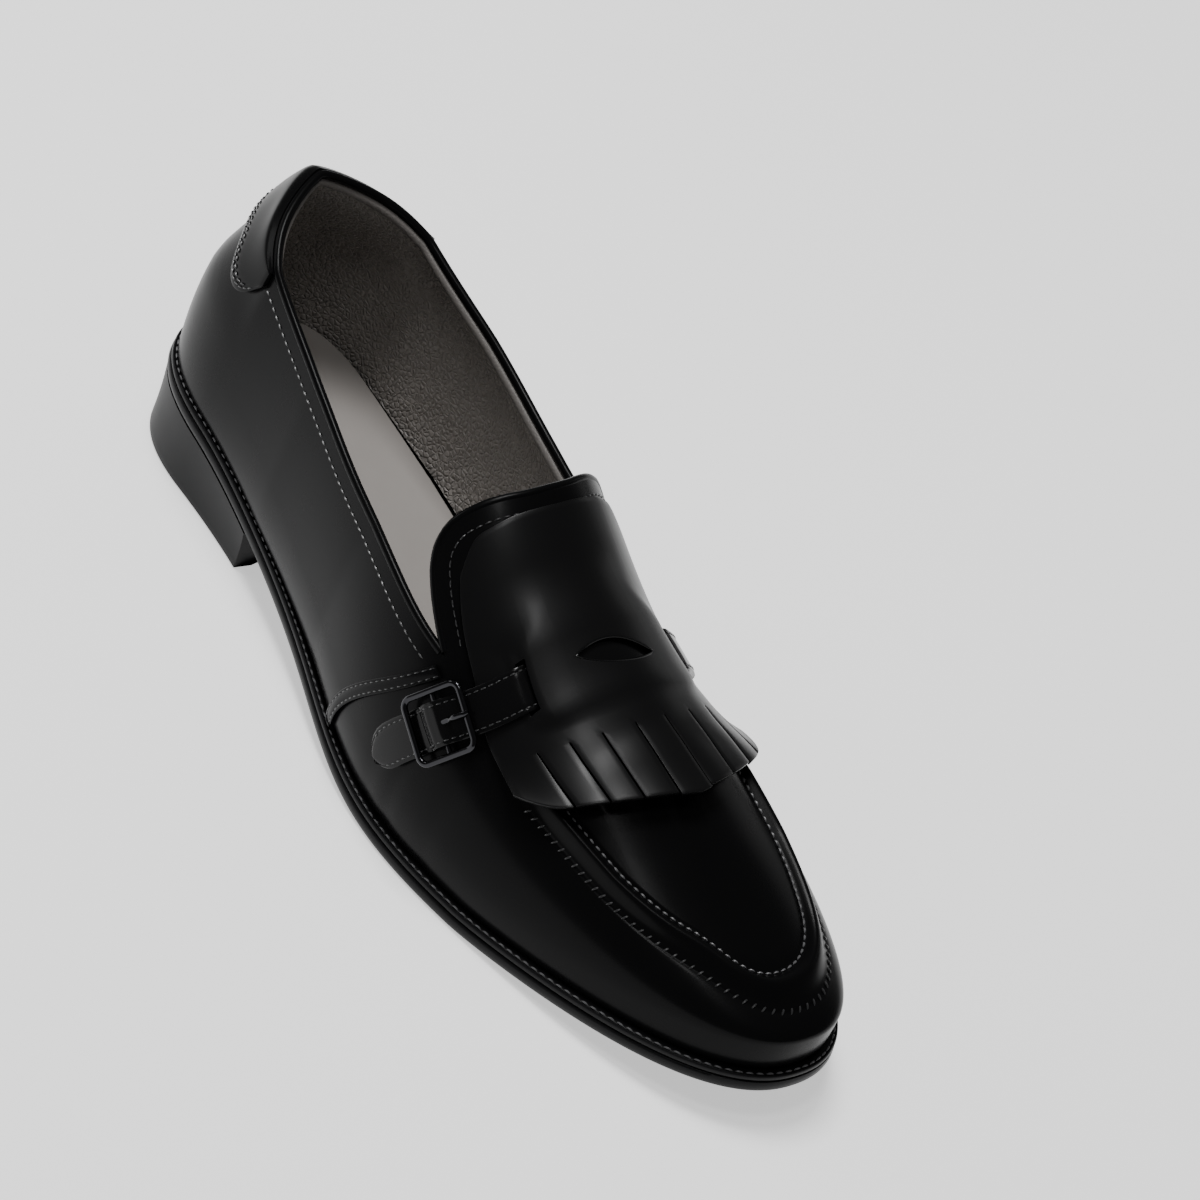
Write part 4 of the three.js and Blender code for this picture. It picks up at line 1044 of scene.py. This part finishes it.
LEAN = .1
middle = (BUCKLE - BAR) / 2
corner = 2.6
ring = []
for cx, cy, a0 in ((1, 1, 0), (-1, 1, 90), (-1, -1, 180), (1, -1, 270)):
    for a in np.radians(np.linspace(a0, a0 + 90, 9)):
        ring.append((cx * (middle - corner) + corner * math.cos(a), cy * (middle - corner) + corner * math.sin(a)))
ring = np.array(ring)
local = np.stack([ring[:, 0] * math.cos(LEAN), ring[:, 1], 2.5 + BAR / 2 + ring[:, 0] * math.sin(LEAN)], 1)
frame_normal = buckle_frame_points([[-math.sin(LEAN), 0, math.cos(LEAN)]])[0] - seat
buckle = tube("Buckle_frame", buckle_frame_points(local), BAR / 2 * 1.04, closed=True, sides=20, squash=(1, .86), up=frame_normal)
paint(buckle, gunmetal)
finish_piece(buckle, "buckle_metal", "buckle_frame")
level = 2.5 + .35 - PIN
pin = tube("Buckle_pin", buckle_frame_points([(0, -middle, level), (0, middle, level)]), PIN, sides=14, up=seat_out)
paint(pin, gunmetal)
finish_piece(pin, "buckle_metal")
hook = PIN + GAP + .6
bar_top = 2.5 + BAR + middle * math.tan(LEAN)
prong_line = [(hook * math.cos(a), 0, level + hook * math.sin(a)) for a in np.linspace(1.06 * math.pi, .5 * math.pi, 8)]
prong_line += [(.2 * BUCKLE, 0, level + hook + 1.0), (.3 * BUCKLE, 0, bar_top + .9), (.4 * BUCKLE, 0, bar_top + .95),
               (.5 * BUCKLE + .6, 0, bar_top + .85)]
prong_path = resample(buckle_frame_points(prong_line), .5)[0]
prong_size = np.full(len(prong_path), .68)
prong_size[-3:] = (.6, .5, .34)
prong = tube("Buckle_prong", prong_path, prong_size, sides=14, squash=(1.15, .85), up=seat_out)
paint(prong, gunmetal)
finish_piece(prong, "buckle_metal", "buckle_prong")

# %% [markdown]
# ## Seams, heel tab and stitching
# A stitch row follows an edge at a set distance, found by stepping sideways over the form.


# %% Rows beside an edge
def by_turn(a, b):
    return on_form(a, b), normal_at(a, b)


def by_at(a, b):
    turn, g_abs = signed(a, b)
    return on_form(turn, g_abs), normal_at(turn, g_abs)


def move(surface, a, b, distance, steps=4):
    """Steps a path sideways over the form by a distance, to its left seen from outside."""
    a, b = np.array(a, float), np.array(b, float)
    for _ in range(steps):
        p, n = surface(a, b)
        t = np.gradient(p, axis=0)
        t /= np.linalg.norm(t, axis=1, keepdims=True) + 1e-9
        left = np.cross(n, t)
        e = 1e-3
        pa = (surface(a + e, b)[0] - p) / e
        pb = (surface(a, b + e)[0] - p) / e
        aa, ab, bb = (pa * pa).sum(1), (pa * pb).sum(1), (pb * pb).sum(1)
        la, lb = (left * pa).sum(1), (left * pb).sum(1)
        det = aa * bb - ab * ab
        a = a + (la * bb - lb * ab) / det * distance / steps
        b = b + (lb * aa - la * ab) / det * distance / steps
    return a, b


def row_on(surface, a, b, height):
    p, n = surface(a, b)
    return p + n * height, n


def clear_of(row, edge, distance):
    """Drops the loops of a stitch row where it turned back on itself in a tight corner."""
    p, n = row
    near = np.array([np.linalg.norm(edge - q, axis=1).min() for q in p])
    good = near > distance * .93
    return p[good], n[good]


rim_a, rim_b = quarter_turns[2:-2], top_girth[2:-2]
best = None
for sign in (1, -1):
    ra, rb = move(by_turn, rim_a, rim_b, sign * 5.2)
    if best is None or rb.mean() > best[1].mean():
        best = (ra, rb)
collar_row = clear_of(row_on(by_turn, *best, 0), by_turn(rim_a, rim_b)[0], 5.2)
wide_edge = tongue_at(np.abs(wide_girths))
best = None
for sign in (1, -1):
    ra, rb = move(by_at, wide_edge[1:-1], wide_girths[1:-1], sign * 5.2)
    if best is None or ra.mean() > best[0].mean():
        best = (ra, rb)
tongue_row = clear_of(row_on(by_at, *best, 0), by_at(wide_edge, wide_girths)[0], 5.2)
rim_thread = stitches("Rim_stitches", [collar_row, tongue_row], pitch=2.7, length=2.2, radius=.25, sink=.4)
paint(rim_thread, thread)

# %% Stitches of the raised seam
seam_v = np.concatenate([np.linspace(float(turn_of(.7, -1)) * 2, TOE_TURN, 50), np.linspace(TOE_TURN, 1, 60)[1:]])
seam_turns = np.concatenate([seam_v / 2, 1 - seam_v[::-1][1:] / 2])
s_all = station(seam_turns)
inner, outer = apron(s_all["at"], s_all["side"])


def seam_row(share, height):
    girth = outer - (outer - inner) * share
    p = on_form(seam_turns, girth)
    h = ridge_height(seam_turns, girth, p)
    n = normal_at(seam_turns, girth)
    return p + n * (h[:, None] + height), n


inside_thread = stitches("Apron_stitches", [seam_row(1.02, .05)], pitch=2.5, length=2.0, radius=.34, sink=.3)
# The inner apron row takes the lighter grey thread, a painted glint on black thread.
paint(inside_thread, glint_grey_thread)
whip_thread = stitches("Whip_stitches", [seam_row(-.02, .05)], pitch=2.8, length=2.6, radius=.32, angle=1.1, sink=.4)
paint(whip_thread, thread)

# %% Side seams
SEAM_HEIGHT = (.8, .64, .47, .3, .15, .03)
SEAM_AT = (.558, .534, .507, .484, .471, .466)
seam_at = curve(SEAM_HEIGHT[::-1], SEAM_AT[::-1])


def seam_line(side, offsets, height):
    up_share, d = np.meshgrid(np.linspace(SEAM_HEIGHT[0], SEAM_HEIGHT[-1], 46), offsets, indexing="ij")
    tilt = np.arctan2((seam_at(up_share + .01) - seam_at(up_share - .01)) * LENGTH, .02 * ANKLE)
    at = seam_at(up_share) - d * side * np.cos(tilt) / LENGTH
    goal = lower_edge(at) + np.maximum(.9, up_share * ANKLE + d * side * np.sin(tilt))
    turn = turn_of(at, side)
    low, high = np.full(at.shape, .2), np.full(at.shape, 2.0)
    for _ in range(24):
        mid = (low + high) / 2
        over = on_form(turn, mid)[..., 2] > goal
        low, high = np.where(over, mid, low), np.where(over, high, mid)
    return np.stack([turn, high, np.broadcast_to(np.asarray(height, float), at.shape)], -1)


for side, name, node in ((-1, "Seam_outer", "side_seam_lateral"), (1, "Seam_inner", "side_seam_medial")):
    across = np.array([-2, -1.9, -1.6, -1.2, -.9, -.4, 0, .4, .9, 1.2, 1.6, 1.9, 2])
    relief = np.array([.75, .9, 1.0, .86, 1.02, 1.1, 1.12, 1.1, 1.02, .86, 1.0, .9, .75]) + GAP - .1
    r = seam_line(side, across, relief)
    piece = sheet_piece(name, off_form(r[..., 0], r[..., 1], r[..., 2]), .85, bevel=.15)
    paint(piece, polished)
    finish_piece(piece, "upper_leather", node)
    lines = []
    for d in (-1.2, 1.2):
        r = seam_line(side, (d,), (1.0,))[:, 0]
        lines.append((off_form(r[:, 0], r[:, 1], r[:, 2]), normal_at(r[:, 0], r[:, 1])))
    t = stitches(name + "_stitches", lines, pitch=2.4, length=2.0, radius=.24, sink=.4)
    paint(t, thread)

# %% Heel tab
TAB_AT = (0, .02, .053, .09, .115, .138)
TAB_GIRTH = (.69, .71, .755, .81, .8, .745)
tab_edge = curve(TAB_AT, TAB_GIRTH)
tab_turn = float(turn_of(TAB_AT[-1], -1))
tab_turns = np.linspace(-tab_turn, tab_turn, 81)
tab_at = outline(tab_turns)[0]
tab_top = collar_girth(tab_turns)
tab_low = tab_edge(tab_at)
down = np.concatenate([[0, .015, .04, .08], np.linspace(.13, .9, 22), [.94, .97, .985, 1]])
sideways = np.abs(tab_turns) / tab_turn
tab_rows = []
for w in down:
    g_here = tab_top + (tab_low - tab_top) * w
    pad = 1.1 * (1 - np.abs(2 * w - 1)**5) * (1 - sideways**9) - .8 * (1 - ease(w / .15))
    groove = -.18 * np.exp(-((w - .86) / .03)**2)
    tab_rows.append(off_form(tab_turns, g_here, GAP + 1.2 + pad + groove))
tab = sheet_piece("Heel_tab", np.stack(tab_rows, 1), 1.2, bevel=.3)
paint(tab, polished)
finish_piece(tab, "upper_leather", "heel_tab")
lines = []
for inset in (2.0, 4.0):
    w = 1 - inset / 22
    u = 1 - inset / 42
    a = tab_turns * u
    g_here = tab_top + (tab_edge(outline(a)[0]) - tab_top) * w
    pad = 1.1 * (1 - np.abs(2 * w - 1)**5) * (1 - (sideways * u)**9)
    lines.append((off_form(a, g_here, GAP + 1.2 + pad), normal_at(a, g_here)))
tab_thread = stitches("Tab_stitches", lines, pitch=2.4, length=2.0, radius=.26, sink=.35)
paint(tab_thread, thread)

# %% [markdown]
# ## Stage
# A plain pale floor, soft lights, and the photo's own viewpoint.

# %% Floor, lights, camera
bpy.ops.mesh.primitive_plane_add(size=8, location=(0, 0, -.0002))
floor = bpy.context.object
floor.name = "Floor"
white = bpy.data.materials.new("White paper")
white.use_nodes = True
white.node_tree.nodes["Principled BSDF"].inputs["Base Color"].default_value = (.9, .9, .9, 1)
white.node_tree.nodes["Principled BSDF"].inputs["Roughness"].default_value = .8
white.node_tree.nodes["Principled BSDF"].inputs["Emission Color"].default_value = (1, 1, 1, 1)
white.node_tree.nodes["Principled BSDF"].inputs["Emission Strength"].default_value = .72
paint(floor, white)

world = bpy.data.worlds.new("Studio")
bpy.context.scene.world = world
world.use_nodes = True
world.node_tree.nodes["Background"].inputs["Color"].default_value = (1, 1, 1, 1)
world.node_tree.nodes["Background"].inputs["Strength"].default_value = .14


def area(name, where, target, size_x, size_y, power):
    bpy.ops.object.light_add(type="AREA", location=where)
    o = bpy.context.object
    o.name = name
    o.data.shape = "RECTANGLE"
    o.data.size = size_x
    o.data.size_y = size_y
    o.data.energy = power
    o.rotation_euler = (Vector(target) - Vector(where)).to_track_quat("-Z", "Y").to_euler()
    return o


area("Overhead softbox", (-.08, .42, 1.55), (0, 0, .04), .5, .5, 22)
area("Front softbox", (-.42, -.2, 1.53), (0, 0, .04), .3, .3, 3.5)
area("Medial strip", (1.35, .12, .5), (0, 0, .04), .3, .6, .5)
area("Back softbox", (-.63, 1.1, .6), (0, 0, .04), .45, .3, 1.8)

AZ, EL, ROLL = (math.radians(v) for v in (-51.593, 39.554, 24.016))
back = np.array([math.sin(AZ) * math.cos(EL), -math.cos(AZ) * math.cos(EL), math.sin(EL)])
right = np.array([math.cos(AZ), math.sin(AZ), 0])
above = np.cross(back, right)
cam_x = math.cos(ROLL) * right + math.sin(ROLL) * above
cam_y = -math.sin(ROLL) * right + math.cos(ROLL) * above
place = (np.array([-350.076, -301.514, 446.075]) + back * 1169.093 + SHIFT) * MM
bpy.ops.object.camera_add()
camera = bpy.context.object
camera.name = "Photo view"
camera.matrix_world = Matrix([[*row] for row in np.column_stack([
    np.vstack([cam_x, cam_y, back]).T, place]).tolist()] + [[0, 0, 0, 1]])
camera.data.sensor_width = 36
camera.data.lens = 6428.008 / 1200 * 36
camera.data.clip_start = .05
bpy.context.scene.camera = camera
